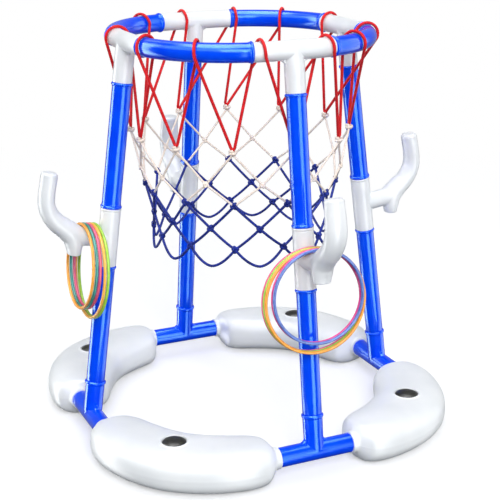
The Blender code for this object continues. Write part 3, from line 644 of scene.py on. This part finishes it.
hookTee = {
    "sides": 72,
    "middle": 0.2715,         # height of the arm's axis along the leg
    "sleeveHalf": 0.0420,
    "sleeveBore": 0.0122,
    "socketDepth": 0.0250,
    "socketEnd": 0.0096,      # bore of the spigot below the socket
    "armRadius": 0.0134,
    "armLength": 0.050,
    "ovalSides": 56,
    "voxel": 0.0008,
    "smoothing": 7,
    "legCore": 0.0133,        # the arm stops at this distance from the leg's axis, inside the sleeve's wall
    # sleeve from its top edge down: height from the arm's axis, radius
    "sleeve": ((0.0420, 0.01410), (0.0418, 0.01450), (0.0412, 0.01485), (0.0403, 0.01497), (0.0394, 0.01485),
               (0.0388, 0.01445), (0.0384, 0.01405), (0.0378, 0.01408), (0.0373, 0.01435), (0.0366, 0.01442),
               (0.0200, 0.01440), (0.0, 0.01440), (-0.0200, 0.01440), (-0.0408, 0.01440), (-0.0416, 0.01432),
               (-0.0420, 0.01395)),
    # middle line from the stub's end up to the prong's shoulder: out, up, half thickness, half width
    "route": ((0.0488, -0.0262, 0.0090, 0.0122), (0.0490, -0.0200, 0.0104, 0.0136),
              (0.0502, -0.0110, 0.0124, 0.0150), (0.0540, 0.0000, 0.0140, 0.0154),
              (0.0640, 0.0103, 0.0143, 0.0155), (0.0770, 0.0195, 0.0136, 0.0157),
              (0.0878, 0.0315, 0.0124, 0.0158), (0.0938, 0.0460, 0.0118, 0.0156),
              (0.0944, 0.0640, 0.0115, 0.0150), (0.0932, 0.0820, 0.0117, 0.0142),
              (0.0930, 0.0876, 0.0117, 0.0141)),
    # the arm's own flow up into the prong
    "blend": ((0.0420, 0.0000, 0.0134, 0.0134), (0.0480, 0.0022, 0.0138, 0.0141),
              (0.0545, 0.0060, 0.0141, 0.0148), (0.0630, 0.0112, 0.0140, 0.0152),
              (0.0720, 0.0165, 0.0137, 0.0155)),
    "tipHeight": 0.0039,      # blunt tip above the shoulder
    "tipRounding": 0.0058,
}


def hookRings(stations, steps):
    # oval rings square to the line through the stations
    line = curvedPath([Vector(station) for station in stations], steps)
    rings = []
    for i, (out, up, thick, wide) in enumerate(line):
        before, after = line[max(i - 1, 0)], line[min(i + 1, len(line) - 1)]
        way = Vector((after[0] - before[0], 0, after[1] - before[1])).normalized()
        rings.append((Vector((out, 0, up)), Vector((way.z, 0, -way.x)), Vector((0, wide / thick, 0)), thick))
    return rings


def hookShape():
    prong = hookRings(hookTee["route"], 8)
    shoulder, across, sideways, thick = prong[-1]
    for share in (0.25, 0.5, 0.72, 0.88, 0.97, 1.0):
        # blunt tip with a rounded edge
        rise = Vector((0, 0, hookTee["tipHeight"] * share))
        drawnIn = hookTee["tipRounding"] * (1 - sqrt(1 - share * share))
        prong.append((shoulder + rise, across, sideways, thick - drawnIn))
    arm = [(Vector((out, 0, 0)), Vector((0, 0, 1)), Vector((0, 1, 0)), hookTee["armRadius"])
           for out in (0.002, 0.026, hookTee["armLength"])]
    blend = hookRings(hookTee["blend"], 8)
    return joinShapes(*[skinRings(rings, hookTee["ovalSides"]) for rings in (prong, blend, arm)])


def sleeveShape():
    top, core, bore = hookTee["sleeveHalf"], hookTee["socketEnd"], hookTee["sleeveBore"]
    bottom = top - hookTee["socketDepth"]
    end = top + hoop["spigotLength"]
    inside = [(-top, hoop["spigotRadius"]), (-end, hoop["spigotRadius"]), (-end, core),
              (bottom - 0.001, core), (bottom, bore), (top, bore)]
    return skinRings(turnedRings(list(hookTee["sleeve"]) + inside), hookTee["sides"], closed=True)


armAndProng = meltTogether("armAndProng", hookShape(), hookTee["voxel"], hookTee["smoothing"])
legCore = skinRings(turnedRings([(0.05, hookTee["legCore"]), (-0.05, hookTee["legCore"])]), hookTee["sides"])
armAndProng = cutAway("armAndProng", armAndProng, [legCore])
sleeveMesh = makeMesh("sleeve", sleeveShape())

hookTeeMesh = mergedMesh("hookTee", armAndProng, sleeveMesh)
for name, azimuth in legAzimuths.items():
    place = legFrame(azimuth) @ Matrix.Translation((0, 0, hookTee["middle"]))
    addPiece("hookTee_" + name, placedMesh(hookTeeMesh, place), mouldedWhite, "hook_" + name,
             "hook_tee_" + name)


baseTee = {
    "sides": 72,
    "radius": 0.0137,
    "barHalf": 0.0553,
    "barRings": (0.0198, 0.030, 0.042),    # rings along each half of the bar
    "wedge": 1.06,
    "web": (0.0058, 0.0052, 0.0060),
    "edge": 0.0005,
    "socketTop": 0.0538,
    "socketBore": 0.0122,
    "socketDepth": 0.0250,
    # socket above the bar: height from the bar's axis, radius
    "socket": ((0.0158, 0.01385), (0.0190, 0.01375), (0.0230, 0.01370), (0.0300, 0.01380),
               (0.0420, 0.01395), (0.0480, 0.01400), (0.0484, 0.01430), (0.0489, 0.01480),
               (0.0497, 0.01520), (0.0506, 0.01540), (0.0516, 0.01540), (0.0522, 0.01525),
               (0.0532, 0.01430), (0.0537, 0.01385), (0.0538, 0.01370)),
}


def baseTeeShape():
    radius, half, edge = baseTee["radius"], baseTee["barHalf"], baseTee["edge"]

    def barRings(side):
        run = [(place, radius) for place in baseTee["barRings"]]
        run += [(half - edge * left, radius - edge * cut) for left, cut in endRounding]
        run += [(half, spigot), (half + hoop["spigotLength"], spigot)]
        return [(Vector((0, side * y, 0)), Vector((1, 0, 0)), Vector((0, 0, 1)), r) for y, r in run]

    top, bore, spigot = baseTee["socketTop"], baseTee["socketBore"], hoop["spigotRadius"]
    stem = [*baseTee["socket"], (top, bore), (top - baseTee["socketDepth"], bore)]
    cross = crossShape(baseTee["sides"], radius, baseTee["wedge"], 1, barRings, stem)
    return joinShapes(cross, cornerWebs(radius, *baseTee["web"], 1))


baseTeeMesh = makeMesh("baseTee", baseTeeShape(), 18)
for name, azimuth in legAzimuths.items():
    addPiece("baseTee_" + name, baseTeeMesh, mouldedBlue, "frame", "base_tee_" + name,
             legFrame(azimuth))
print("legs made")


# The floats
floatBody = {
    "spans": 40,              # along half of a float
    "sides": 72,
    "middle": 0.2615,         # middle of the hoop to the middle of a float
    "neckPull": 0.100,        # how hard the middle line holds its way at the neck, and at the middle
    "middlePull": 0.150,
    "seamHeight": 0.0002,     # parting line left by the two halves of the mould
    "seamWidth": 0.035,       # half of its width, in radians round the section
    # share of the way from the neck to the middle, half width, half height and squareness of the section,
    # and how far its middle lies below the neck's and further in towards the hoop's middle
    "stations": ((0.00, 0.0152, 0.0152, 2.0, 0, 0), (0.035, 0.0157, 0.0156, 2.0, 0, 0),
                 (0.058, 0.0163, 0.0161, 2.0, 0, 0), (0.076, 0.0184, 0.0176, 2.0, 0.0003, 0.0007),
                 (0.100, 0.0240, 0.0218, 2.2, 0.0010, 0.0022), (0.13, 0.0302, 0.0251, 2.4, 0.0020, 0.0040),
                 (0.17, 0.0364, 0.0276, 2.6, 0.0029, 0.0050), (0.30, 0.0441, 0.0292, 2.8, 0.0033, 0.0048),
                 (0.50, 0.0497, 0.0296, 2.8, 0.0033, 0.0030), (0.75, 0.0531, 0.0296, 2.8, 0.0033, 0.0010),
                 (1.00, 0.0545, 0.0296, 2.8, 0.0033, 0)),
    "plugOut": 0.2600,
    "plugLift": 0.0238,
    "seatRadius": 0.0172,
    "holeRadius": 0.0100,
    "mouthRadius": 0.0118,    # bore of the neck
    "mouthDepth": 0.028,
    # raised rim round the plug's seat: height above the base tees' axis, radius
    "rim": ((0.0230, 0.0207), (0.0254, 0.0205), (0.0265, 0.0200), (0.0271, 0.0192), (0.0272, 0.0183),
            (0.0269, 0.0176), (0.0261, 0.01725), (0.0230, 0.0172)),
}


def floatMouth():
    foot = Vector((hoop["footRadius"], baseTee["barHalf"] + hoop["fitGap"]))
    turn = Matrix.Rotation(radians(-45), 2)
    return turn @ foot, turn @ Vector((0, -1))


def floatSpine(share):
    mouth, outwards = floatMouth()
    middle = Vector((floatBody["middle"], 0))
    pullIn, pullOut = -outwards * floatBody["neckPull"], Vector((0, floatBody["middlePull"]))
    square, cube = share * share, share * share * share
    point = ((2 * cube - 3 * square + 1) * mouth + (cube - 2 * square + share) * pullIn
             + (3 * square - 2 * cube) * middle + (cube - square) * pullOut)
    way = ((6 * square - 6 * share) * mouth + (3 * square - 4 * share + 1) * pullIn
           + (6 * share - 6 * square) * middle + (3 * square - 2 * share) * pullOut)
    return point, way.normalized()


def floatOutline(share, side, turns):
    _, halfWidth, halfHeight, squareness, drop, inwards = easedThrough(floatBody["stations"], share)
    point, way = floatSpine(share)
    across = Vector((-way.y, way.x))
    outline = []
    for turn in turns:
        wide = copysign(abs(cos(turn)) ** (2 / squareness), cos(turn))
        high = copysign(abs(sin(turn)) ** (2 / squareness), sin(turn))
        seam = floatBody["seamHeight"] * max(0, 1 - (sin(turn) / floatBody["seamWidth"]) ** 2)
        flat = point + across * (wide * (halfWidth + seam) + inwards)
        outline.append(Vector((flat.x, side * flat.y, max(high * halfHeight - drop, -hoop["teeHeight"]))))
    return outline


def floatShape():
    sides, spans = floatBody["sides"], floatBody["spans"]
    # the seam gets points of its own beside the even ones
    turns = [2 * pi * i / sides for i in range(sides)]
    for middle in (0, pi):
        turns += [(middle + floatBody["seamWidth"] * share) % (2 * pi) for share in (-1.1, -0.5, 0.5, 1.1)]
    turns.sort()
    shares = []
    for i in range(spans + 1):
        # closer together at the neck, where the shape changes fast
        t = i / spans
        shares.append(0.35 * t + 0.65 * t * t)
    outlines = [floatOutline(share, -1, turns) for share in shares]
    outlines += [floatOutline(share, 1, turns) for share in reversed(shares[:-1])]
    points = [point for outline in outlines for point in outline]
    return points, facesBetween(len(outlines), len(turns))


def atPlug(rings):
    # rings made round Z, moved out to the plug
    out = Vector((floatBody["plugOut"], 0, 0))
    return [(middle + out, across, up, radius) for middle, across, up, radius in rings]


def floatCutters():
    # the plug's seat and its hole, then the bores of the two necks
    seat, top = floatBody["plugLift"], floatBody["plugLift"] + 0.01
    cutters = []
    for bottom, radius in ((seat, floatBody["seatRadius"]), (seat - 0.02, floatBody["holeRadius"])):
        cutters.append(skinRings(atPlug(turnedRings([(bottom, radius), (top, radius)])), 64))
    mouth, outwards = floatMouth()
    upright = Vector((0, 0, 1))
    for side in (1, -1):
        facing = Vector((outwards.x, side * outwards.y, 0))
        start = Vector((mouth.x, side * mouth.y, 0)) + facing * 0.001
        rings = [(start - facing * run, upright, facing.cross(upright), floatBody["mouthRadius"])
                 for run in (0, floatBody["mouthDepth"])]
        cutters.append(skinRings(rings, 48))
    return cutters


floatHull = cutAway("floatHull", makeMesh("floatHull", floatShape(), 50), floatCutters())
rimMesh = makeMesh("seatRim", skinRings(atPlug(turnedRings(floatBody["rim"])), 72, closed=True))
floatMesh = mergedMesh("float", floatHull, rimMesh)
for name, azimuth in quarterAzimuths.items():
    addPiece("float_" + name + "_shell", placedMesh(floatMesh, quarterFrame(azimuth)), floatWhite, "frame",
             "float_" + name)


floatPlug = {
    "sides": 64,
    # from the middle of the dome outwards and down to the stem's end: height above the seat, radius
    "profile": ((0.0058, 0.0004), (0.0057, 0.0035), (0.0053, 0.0072), (0.0046, 0.0105), (0.0037, 0.0132),
                (0.0026, 0.0152), (0.0015, 0.0163), (0.0007, 0.01665), (0.0001, 0.0165), (0.0, 0.0160),
                (0.0, 0.0092), (-0.0006, 0.0090), (-0.0040, 0.0086), (-0.0050, 0.0092), (-0.0060, 0.0092),
                (-0.0080, 0.0084), (-0.0085, 0.0078)),
}
plugMesh = makeMesh("floatPlug", skinRings(turnedRings(floatPlug["profile"]), floatPlug["sides"]))
seat = Matrix.Translation((floatBody["plugOut"], 0, floatBody["plugLift"] + hoop["fitGap"]))
for name, azimuth in quarterAzimuths.items():
    addPiece("floatPlug_" + name, plugMesh, plugBlack, "plug_" + name, "float_plug_" + name,
             quarterFrame(azimuth) @ seat)
print("floats made")


# The net. Its columns are laid out evenly, then turned a little to where the photographed net hangs
net = {
    "columns": 12,
    "twist": 7.8,             # degrees that the whole net is turned
    "bias": 5.7,              # and the degrees more on one side, less on the other
    "biasAzimuth": 55.0,
    # radius, height above the base tees, and whether the row sits half a column round
    "rows": {
        "loop": (0.1588, 0.4126, False),
        "cream": (0.1480, 0.3586, True),
        "change": (0.1404, 0.3278, False),
        "middle": (0.1307, 0.2916, True),
        "low": (0.1296, 0.2624, False),
        "scallop": (0.1310, 0.2372, True),
    },
    "loopAzimuths": (15.5, 45, 69, 97, 121, 168, 201.6, 228, 254.5, 286, 304, 333),
    "outsideFirst": (168,),   # loops whose cord comes up outside the hoop
    "loopDrift": 0.0050,      # shift along the hoop from a loop's one leg to its other
    "loopGap": 0.0008,        # between the red cord and the hoop's tube
    "loopBend": 0.0026,       # radius of the red cord's bend at a collar
    "apexDrop": 0.0012,       # the bend's lowest place below the row's height
    "hoopTube": 0.0131,
    "redRadius": 0.0022,
    "creamRadius": 0.0016,
    "navyRadius": 0.0020,
    "lay": 0.0095,            # length of one turn of a cord's three strands
    "strands": (0.84, 0.18, 0.7),    # share of the radius in a groove, a strand's rise, how flat its top is
    "step": 0.0012,
    # cream collars: how far below the red apex, radius, cord radius, pitch, turns
    "collarDrop": 0.0058,
    "collar": (0.0039, 0.0021, 0.0034, 1.7),
    "collarFoot": 0.0028,     # the cream strands leave this far below a collar's middle
    "creamKnot": (0.0032, 0.0018),   # size, cord radius
    "navyKnot": (0.0039, 0.0023),
    "knotDepth": 0.42,        # a knot's depth as a share of its size
    "creamStop": 0.0026,      # the cream strands stop this short of a navy knot's middle
    "sag": {"change": 0.0006, "low": 0.0014},     # how far strands from these rows hang down
    "scallopPower": 1.7,      # above 1, the bottom edge's swags have a rounded low point
}


def netPoint(row, column):
    radius, height, staggered = net["rows"][row]
    even = 360 * (column + (0.5 if staggered else 0)) / net["columns"]
    turn = radians(even + net["twist"] + net["bias"] * cos(radians(even - net["biasAzimuth"])))
    return Vector((radius * cos(turn), radius * sin(turn), hoop["teeHeight"] + height))


def evenlyAlong(points, step, closed=False):
    # the path cut again into lengths of about one step
    ends = points + points[:1] if closed else points
    runs = [0.0]
    for first, second in zip(ends, ends[1:]):
        runs.append(runs[-1] + (second - first).length)
    count = max(3, round(runs[-1] / step))
    cut, span = [], 0
    for i in range(count if closed else count + 1):
        goal = runs[-1] * i / count
        while span < len(runs) - 2 and runs[span + 1] < goal:
            span += 1
        share = (goal - runs[span]) / max(runs[span + 1] - runs[span], 1e-9)
        cut.append(ends[span].lerp(ends[span + 1], min(share, 1)))
    return cut, runs[-1]


def cordShape(points, radius, closed=False, sides=12):
    # three strands laid round each other, as grooves that wind along the cord
    cut, length = evenlyAlong(points, net["step"], closed)
    turns = length / net["lay"]
    if closed:
        turns = round(turns)
    count = len(cut)

    def strands(turn, index):
        wound = turn + 2 * pi * turns * index / count
        groove, rise, power = net["strands"]
        return groove + rise * abs(cos(1.5 * wound)) ** power

    return skinRings(pathRings(cut, [radius] * count, closed), sides, closed, strands)


def ringPlace(azimuth):
    # point, direction and outward normal of the hoop's axis
    quarter = round(azimuth / 90)
    local = radians(azimuth - 90 * quarter)
    side = 1 if local >= 0 else -1
    local = abs(local)
    if tan(local) * hoop["ringRadius"] <= hoop["ringStraight"]:
        point = Vector((hoop["ringRadius"], side * tan(local) * hoop["ringRadius"], 0))
        bend = 0.0
    else:
        middle = hoop["ringStraight"] * (cos(local) + sin(local))
        offset = hoop["ringStraight"] * (cos(local) - sin(local))
        reach = middle + sqrt(cornerRadius ** 2 - offset ** 2)
        point = Vector((reach * cos(local), side * reach * sin(local), 0))
        bend = side * asin((reach * sin(local) - hoop["ringStraight"]) / cornerRadius)
    turn = Matrix.Rotation(radians(90 * quarter), 3, "Z")
    point = turn @ point
    point.z = ringHeight
    return point, turn @ Vector((-sin(bend), cos(bend), 0)), turn @ Vector((cos(bend), sin(bend), 0))


def hangingCord():
    # one closed cord: over the hoop, down to a collar, and up again, twelve times
    wrap = net["hoopTube"] + net["redRadius"] + net["loopGap"]
    bend, steps = net["loopBend"], 14
    points = []
    for column, azimuth in enumerate(net["loopAzimuths"]):
        middle, along, normal = ringPlace(azimuth)
        before, after = netPoint("loop", column), netPoint("loop", column + 1)
        aim = (before + after) / 2 - middle
        towards = atan2(aim.z, aim.dot(normal))
        swing = acos(wrap / hypot(aim.z, aim.dot(normal)))
        inner, outer = towards - swing + 2 * pi, towards + swing
        first, last = (outer, inner) if azimuth in net["outsideFirst"] else (inner, outer)
        for i in range(steps + 1):
            share = i / steps
            turn = first + (last - first) * share
            over = normal * wrap * cos(turn) + Vector((0, 0, wrap * sin(turn)))
            points.append(middle + over + along * net["loopDrift"] * (share - 0.5))
        sideways = Vector((-after.y, after.x, 0)).normalized()
        for turn in (-80, -50, -25, 0, 25, 50, 80):
            rise = bend * (1 - cos(radians(turn))) - net["apexDrop"]
            points.append(after + sideways * bend * sin(radians(turn)) + Vector((0, 0, rise)))
    return points


def knotShape(spot, knot, turn):
    # a hard-pulled knot: cord on the line of a trefoil, flattened against the net and drawn into a lump
    size, cord = knot
    outward = Vector((spot.x, spot.y, 0)).normalized()
    side = Vector((-outward.y, outward.x, 0)) * cos(turn) + Vector((0, 0, sin(turn)))
    up = outward.cross(side)
    points = []
    count = 30
    for i in range(count):
        t = 2 * pi * i / count
        x = (sin(t) + 2 * sin(2 * t)) / 3
        y = (cos(t) - 2 * cos(2 * t)) / 3
        z = -sin(3 * t) * net["knotDepth"]
        points.append(spot + (side * x + up * y + outward * z) * size)
    return skinRings(pathRings(points, [cord] * count, True), 8, True)


def collarShape(spot):
    # nearly two turns of cream cord, pulled tight under a red apex
    radius, cord, pitch, turns = net["collar"]
    count = 40
    points = []
    for i in range(count + 1):
        angle = 2 * pi * turns * i / count
        height = pitch * (turns * i / count - turns / 2)
        points.append(spot + Vector((radius * cos(angle), radius * sin(angle), height)))
    radii = [cord] * (count + 1)
    radii[0] = radii[-1] = cord * 0.6
    return skinRings(pathRings(points, radii), 10)


def strand(start, end, radius, sag=0.0, short=0.0):
    # a length of cord between two knots, which can stop short of the second
    way = end - start
    end = end - way.normalized() * short
    points = []
    for i in range(9):
        share = i / 8
        points.append(start.lerp(end, share) - Vector((0, 0, 4 * sag * share * (1 - share))))
    return cordShape(points, radius, sides=9)


def upperNetShapes():
    shapes = []
    drop = Vector((0, 0, net["collarDrop"]))
    for column in range(net["columns"]):
        collar = netPoint("loop", column) - drop
        shapes.append(collarShape(collar))
        foot = collar - Vector((0, 0, net["collarFoot"]))
        for other in (column, column - 1):
            shapes.append(strand(foot, netPoint("cream", other), net["creamRadius"]))
        knot = netPoint("cream", column)
        shapes.append(knotShape(knot, net["creamKnot"], column * 1.1))
        for other in (column, column + 1):
            end = netPoint("change", other)
            shapes.append(strand(knot, end, net["creamRadius"], short=net["creamStop"]))
    return shapes


def lowerNetShapes():
    shapes = []
    for column in range(net["columns"]):
        middle = netPoint("middle", column)
        for row, turned in (("change", 6), ("low", 3)):
            shapes.append(knotShape(netPoint(row, column), net["navyKnot"], column * 0.9 + turned))
            for other in (column, column + 1):
                shapes.append(strand(netPoint(row, other), middle, net["navyRadius"], net["sag"][row]))
        shapes.append(knotShape(middle, net["navyKnot"], column * 1.3))
        # the bottom edge hangs in a swag between two knots
        start, end = netPoint("low", column), netPoint("low", column + 1)
        bottom = netPoint("scallop", column)
        bulge = bottom.xy.length - start.lerp(end, 0.5).xy.length
        points = []
        for i in range(21):
            share = i / 20
            depth = 1 - abs(2 * share - 1) ** net["scallopPower"]
            point = start.lerp(end, share)
            outward = Vector((point.x, point.y, 0)).normalized()
            points.append(point + outward * bulge * depth + Vector((0, 0, (bottom.z - start.z) * depth)))
        shapes.append(cordShape(points, net["navyRadius"], sides=9))
    return shapes


loopsMesh = makeMesh("netHangingLoops", cordShape(hangingCord(), net["redRadius"], True), 60)
addPiece("netHangingLoops", loopsMesh, redCord, "frame", "net_hanging_loops")
upperNetMesh = makeMesh("netUpperMesh", joinShapes(*upperNetShapes()), 60)
addPiece("netUpperMesh", upperNetMesh, creamCord, "frame", "net_upper_mesh")
lowerNetMesh = makeMesh("netLowerMesh", joinShapes(*lowerNetShapes()), 60)
addPiece("netLowerMesh", lowerNetMesh, navyCord, "frame", "net_lower_mesh")
print("net made")


# The toss rings, five on the front hook and five on the left one
tossRings = {
    "cordRadius": 0.0022,
    "hangRadius": 0.0023,     # the solids' own radius, which sets how high the rings hang
    "first": 0.0184,          # leg's axis to the first ring
    "step": 0.0050,
    "tilt": 0.4,              # degrees that the rings' lower ends lean in
    "weldWidth": 0.05,        # half of the joined place's width, in radians
    "weldSwell": 0.05,        # how much thicker the ring is there, as a share
    "weldAt": (2.0, 0.9),     # where the first ring is joined, and how much further round each next one
    # turn about the leg in degrees, then colour and radius of each ring from the leg outwards
    "bunches": {
        "front": (-5, (("pink", 0.0707), ("lime", 0.0707), ("orange", 0.0707), ("magenta", 0.0632),
                       ("light_blue", 0.0632))),
        "left": (0, (("lime", 0.0667), ("yellow", 0.0667), ("pink", 0.0597), ("teal", 0.0597),
                     ("orange", 0.0597))),
    },
}


def tossRingShape(radius, weldAt):
    rings = []
    count = 120
    for i in range(count):
        turn = 2 * pi * i / count
        outward = Vector((0, sin(turn), cos(turn)))
        off = abs((turn - weldAt + pi) % (2 * pi) - pi)
        weld = 1 + tossRings["weldSwell"] * max(0, 1 - off / tossRings["weldWidth"])
        # the ring stands across X and hangs from its top, so it is lowered by its own radius
        middle = outward * radius - Vector((0, 0, radius))
        rings.append((middle, Vector((1, 0, 0)), outward, tossRings["cordRadius"] * weld))
    return skinRings(rings, 16, closed=True)


top = hookTee["armRadius"] + 2 * hoop["fitGap"] + tossRings["hangRadius"]
weldAt, weldStep = tossRings["weldAt"]
for leg, (turn, rings) in tossRings["bunches"].items():
    hang = (Matrix.Rotation(radians(turn), 4, "Z") @ Matrix.Translation((0, 0, top))
            @ Matrix.Rotation(radians(tossRings["tilt"]), 4, "Y"))
    for i, (colour, radius) in enumerate(rings):
        out = tossRings["first"] + tossRings["step"] * i
        place = legFrame(legAzimuths[leg]) @ Matrix.Translation((out, 0, hookTee["middle"])) @ hang
        mesh = makeMesh("tossRing", tossRingShape(radius, weldAt + weldStep * i))
        name = f"toss_ring_{leg}_{i + 1}"
        addPiece(f"tossRing_{leg}_{i + 1}", mesh, tossMaterials[colour], name + "_body", name,
                 place)
print("toss rings made")


# Studio: a white floor that keeps a soft shadow, a big lamp in front, a faint one above, and soft boxes
# that only gloss shows
studio = {
    "ambient": 0.65,
    "ambientTint": (0.985, 0.995, 1.0, 1),
    "room": 0.06,             # how bright the dark side of the studio is in reflections
    # tall soft boxes: way they stand in degrees, half width, soft edge, brightness
    "boxes": {
        "backdrop": (66, 52, 22, 0.32),
        "mainBox": (-82, 9, 13, 9.5),
        "wideBox": (-14, 16, 16, 3.2),
        "rimBox": (142, 9, 11, 11.0),
    },
    # they fade between these heights on the unit sphere, above and below
    "boxFades": ((0.8, 0.5), (-0.8, -0.45)),
    "highBox": (-155, 32, 26, 4.5),     # begins above the horizon, so only level pieces show it
    "highBoxRise": (0.30, 0.60),
    "ceilingBox": (0.84, 0.94, 11.5),   # straight above: height where it begins and is full, brightness
    "floorSize": 24,
    "floorColour": "#DEDFE1",
    "floorGlow": 0.37,        # only the camera sees it
    "floorBounce": "#86888B",           # what the floor throws back on the hoop
    "floorFade": (0.75, 1.9),           # the floor turns into the white background between these distances
    "lamps": {
        # place, size across and up, power in watts
        "keyLamp": ((-0.95, -3.1, 2.45), (1.9, 1.9), 98),
        "topLamp": ((-0.2, 0.7, 1.9), (0.5, 1.4), 4),
    },
    "lookAt": (0, 0, 0.3),
    "cameraPlace": (-0.7131, -1.5892, 0.8111),
    "cameraTurn": (1.2607, 0.0037, -0.4306),
    "lens": 87.778,
}


def studioWorld():
    # the camera sees plain white, gloss sees the soft boxes, and everything else gets even light
    world = bpy.data.worlds.new("studio")
    bpy.context.scene.world = world
    world.use_nodes = True
    tree = world.node_tree
    background = tree.nodes["Background"]
    soft = {"interpolation_type": "SMOOTHSTEP"}
    way = addNode(tree, "ShaderNodeTexCoord").outputs["Generated"]
    height = addNode(tree, "ShaderNodeSeparateXYZ", {"Vector": way}).outputs["Z"]
    level = addNode(tree, "ShaderNodeVectorMath", {0: way, 1: (1, 1, 0)}, operation="MULTIPLY")
    level = addNode(tree, "ShaderNodeVectorMath", {0: level.outputs["Vector"]}, operation="NORMALIZE")

    def boxLight(azimuth, half, edge, brightness):
        facing = (cos(radians(azimuth)), sin(radians(azimuth)), 0)
        near = addNode(tree, "ShaderNodeVectorMath", {0: level.outputs["Vector"], 1: facing},
                       operation="DOT_PRODUCT")
        return addNode(tree, "ShaderNodeMapRange", {
            "Value": near.outputs["Value"], "From Min": cos(radians(half + edge)),
            "From Max": cos(radians(half)), "To Max": brightness}, **soft).outputs["Result"]

    shown = 0.0
    for box in studio["boxes"].values():
        more = addNode(tree, "ShaderNodeMath", {0: shown, 1: boxLight(*box)}, operation="ADD")
        shown = more.outputs["Value"]
    for low, full in studio["boxFades"]:
        fade = addNode(tree, "ShaderNodeMapRange", {"Value": height, "From Min": low, "From Max": full},
                       **soft)
        left = addNode(tree, "ShaderNodeMath", {0: shown, 1: fade.outputs["Result"]}, operation="MULTIPLY")
        shown = left.outputs["Value"]
    low, full = studio["highBoxRise"]
    rise = addNode(tree, "ShaderNodeMapRange", {"Value": height, "From Min": low, "From Max": full}, **soft)
    high = addNode(tree, "ShaderNodeMath", {0: boxLight(*studio["highBox"]), 1: rise.outputs["Result"]},
                   operation="MULTIPLY")
    low, full, brightness = studio["ceilingBox"]
    ceiling = addNode(tree, "ShaderNodeMapRange", {"Value": height, "From Min": low, "From Max": full,
                                                   "To Max": brightness}, **soft)
    for light in (ceiling.outputs["Result"], high.outputs["Value"], studio["room"]):
        more = addNode(tree, "ShaderNodeMath", {0: shown, 1: light}, operation="ADD")
        shown = more.outputs["Value"]
    path = addNode(tree, "ShaderNodeLightPath").outputs
    lit = addNode(tree, "ShaderNodeMix", {"Factor": path["Is Glossy Ray"], "A": studio["ambient"],
                                          "B": shown})
    clear = addNode(tree, "ShaderNodeMath", {0: path["Is Camera Ray"], 1: path["Is Transmission Ray"]},
                    operation="MAXIMUM").outputs["Value"]
    strength = addNode(tree, "ShaderNodeMix", {"Factor": clear, "A": lit.outputs["Result"], "B": 1.0})
    tree.links.new(strength.outputs["Result"], background.inputs["Strength"])
    # even light is a little cool, and the background is plain white
    tint = addNode(tree, "ShaderNodeMix", {0: clear, 6: studio["ambientTint"], 7: (1, 1, 1, 1)},
                   data_type="RGBA")
    tree.links.new(tint.outputs[2], background.inputs["Color"])


def floorMaterial():
    # the camera sees a white floor with the shadow on it, which turns into the background further out
    material = bpy.data.materials.new("paintedFloor")
    material.use_nodes = True
    tree = material.node_tree
    tree.nodes.clear()
    paint = addNode(tree, "ShaderNodeBsdfDiffuse", {"Color": linear(studio["floorColour"])})
    glow = addNode(tree, "ShaderNodeEmission", {"Strength": studio["floorGlow"]})
    lit = addNode(tree, "ShaderNodeAddShader", {0: paint.outputs["BSDF"], 1: glow.outputs["Emission"]})
    away = addNode(tree, "ShaderNodeEmission", {"Strength": 1.0})
    place = addNode(tree, "ShaderNodeTexCoord").outputs["Object"]
    distance = addNode(tree, "ShaderNodeVectorMath", {0: place}, operation="LENGTH").outputs["Value"]
    near, far = studio["floorFade"]
    fade = addNode(tree, "ShaderNodeMapRange", {"Value": distance, "From Min": near, "From Max": far},
                   interpolation_type="SMOOTHSTEP").outputs["Result"]
    seen = addNode(tree, "ShaderNodeMixShader", {0: fade, 1: lit.outputs["Shader"],
                                                 2: away.outputs["Emission"]})
    bounce = addNode(tree, "ShaderNodeBsdfDiffuse", {"Color": linear(studio["floorBounce"])})
    path = addNode(tree, "ShaderNodeLightPath").outputs["Is Camera Ray"]
    both = addNode(tree, "ShaderNodeMixShader", {0: path, 1: bounce.outputs["BSDF"],
                                                 2: seen.outputs["Shader"]})
    addNode(tree, "ShaderNodeOutputMaterial", {"Surface": both.outputs["Shader"]})
    return material


studioWorld()
bpy.ops.mesh.primitive_grid_add(x_subdivisions=4, y_subdivisions=4, size=studio["floorSize"],
                                location=(0, 0, -0.0002))
floor = bpy.context.active_object
floor.name = "studioFloor"
floor.data.materials.append(floorMaterial())
floor.visible_glossy = False      # the soft boxes show in the tubes right down to the floor

for name, (place, size, power) in studio["lamps"].items():
    lamp = bpy.data.lights.new(name, "AREA")
    lamp.shape = "RECTANGLE"
    lamp.size, lamp.size_y = size
    lamp.energy = power
    made = bpy.data.objects.new(name, lamp)
    bpy.context.scene.collection.objects.link(made)
    made.location = place
    made.rotation_euler = (Vector(studio["lookAt"]) - Vector(place)).to_track_quat("-Z", "Y").to_euler()

camera = bpy.data.objects.new("photoCamera", bpy.data.cameras.new("photoCamera"))
bpy.context.scene.collection.objects.link(camera)
camera.location = studio["cameraPlace"]
camera.rotation_euler = studio["cameraTurn"]
camera.data.sensor_width = 36
camera.data.lens = studio["lens"]
bpy.context.scene.camera = camera
bpy.context.scene.view_settings.view_transform = "Standard"
print("studio made")
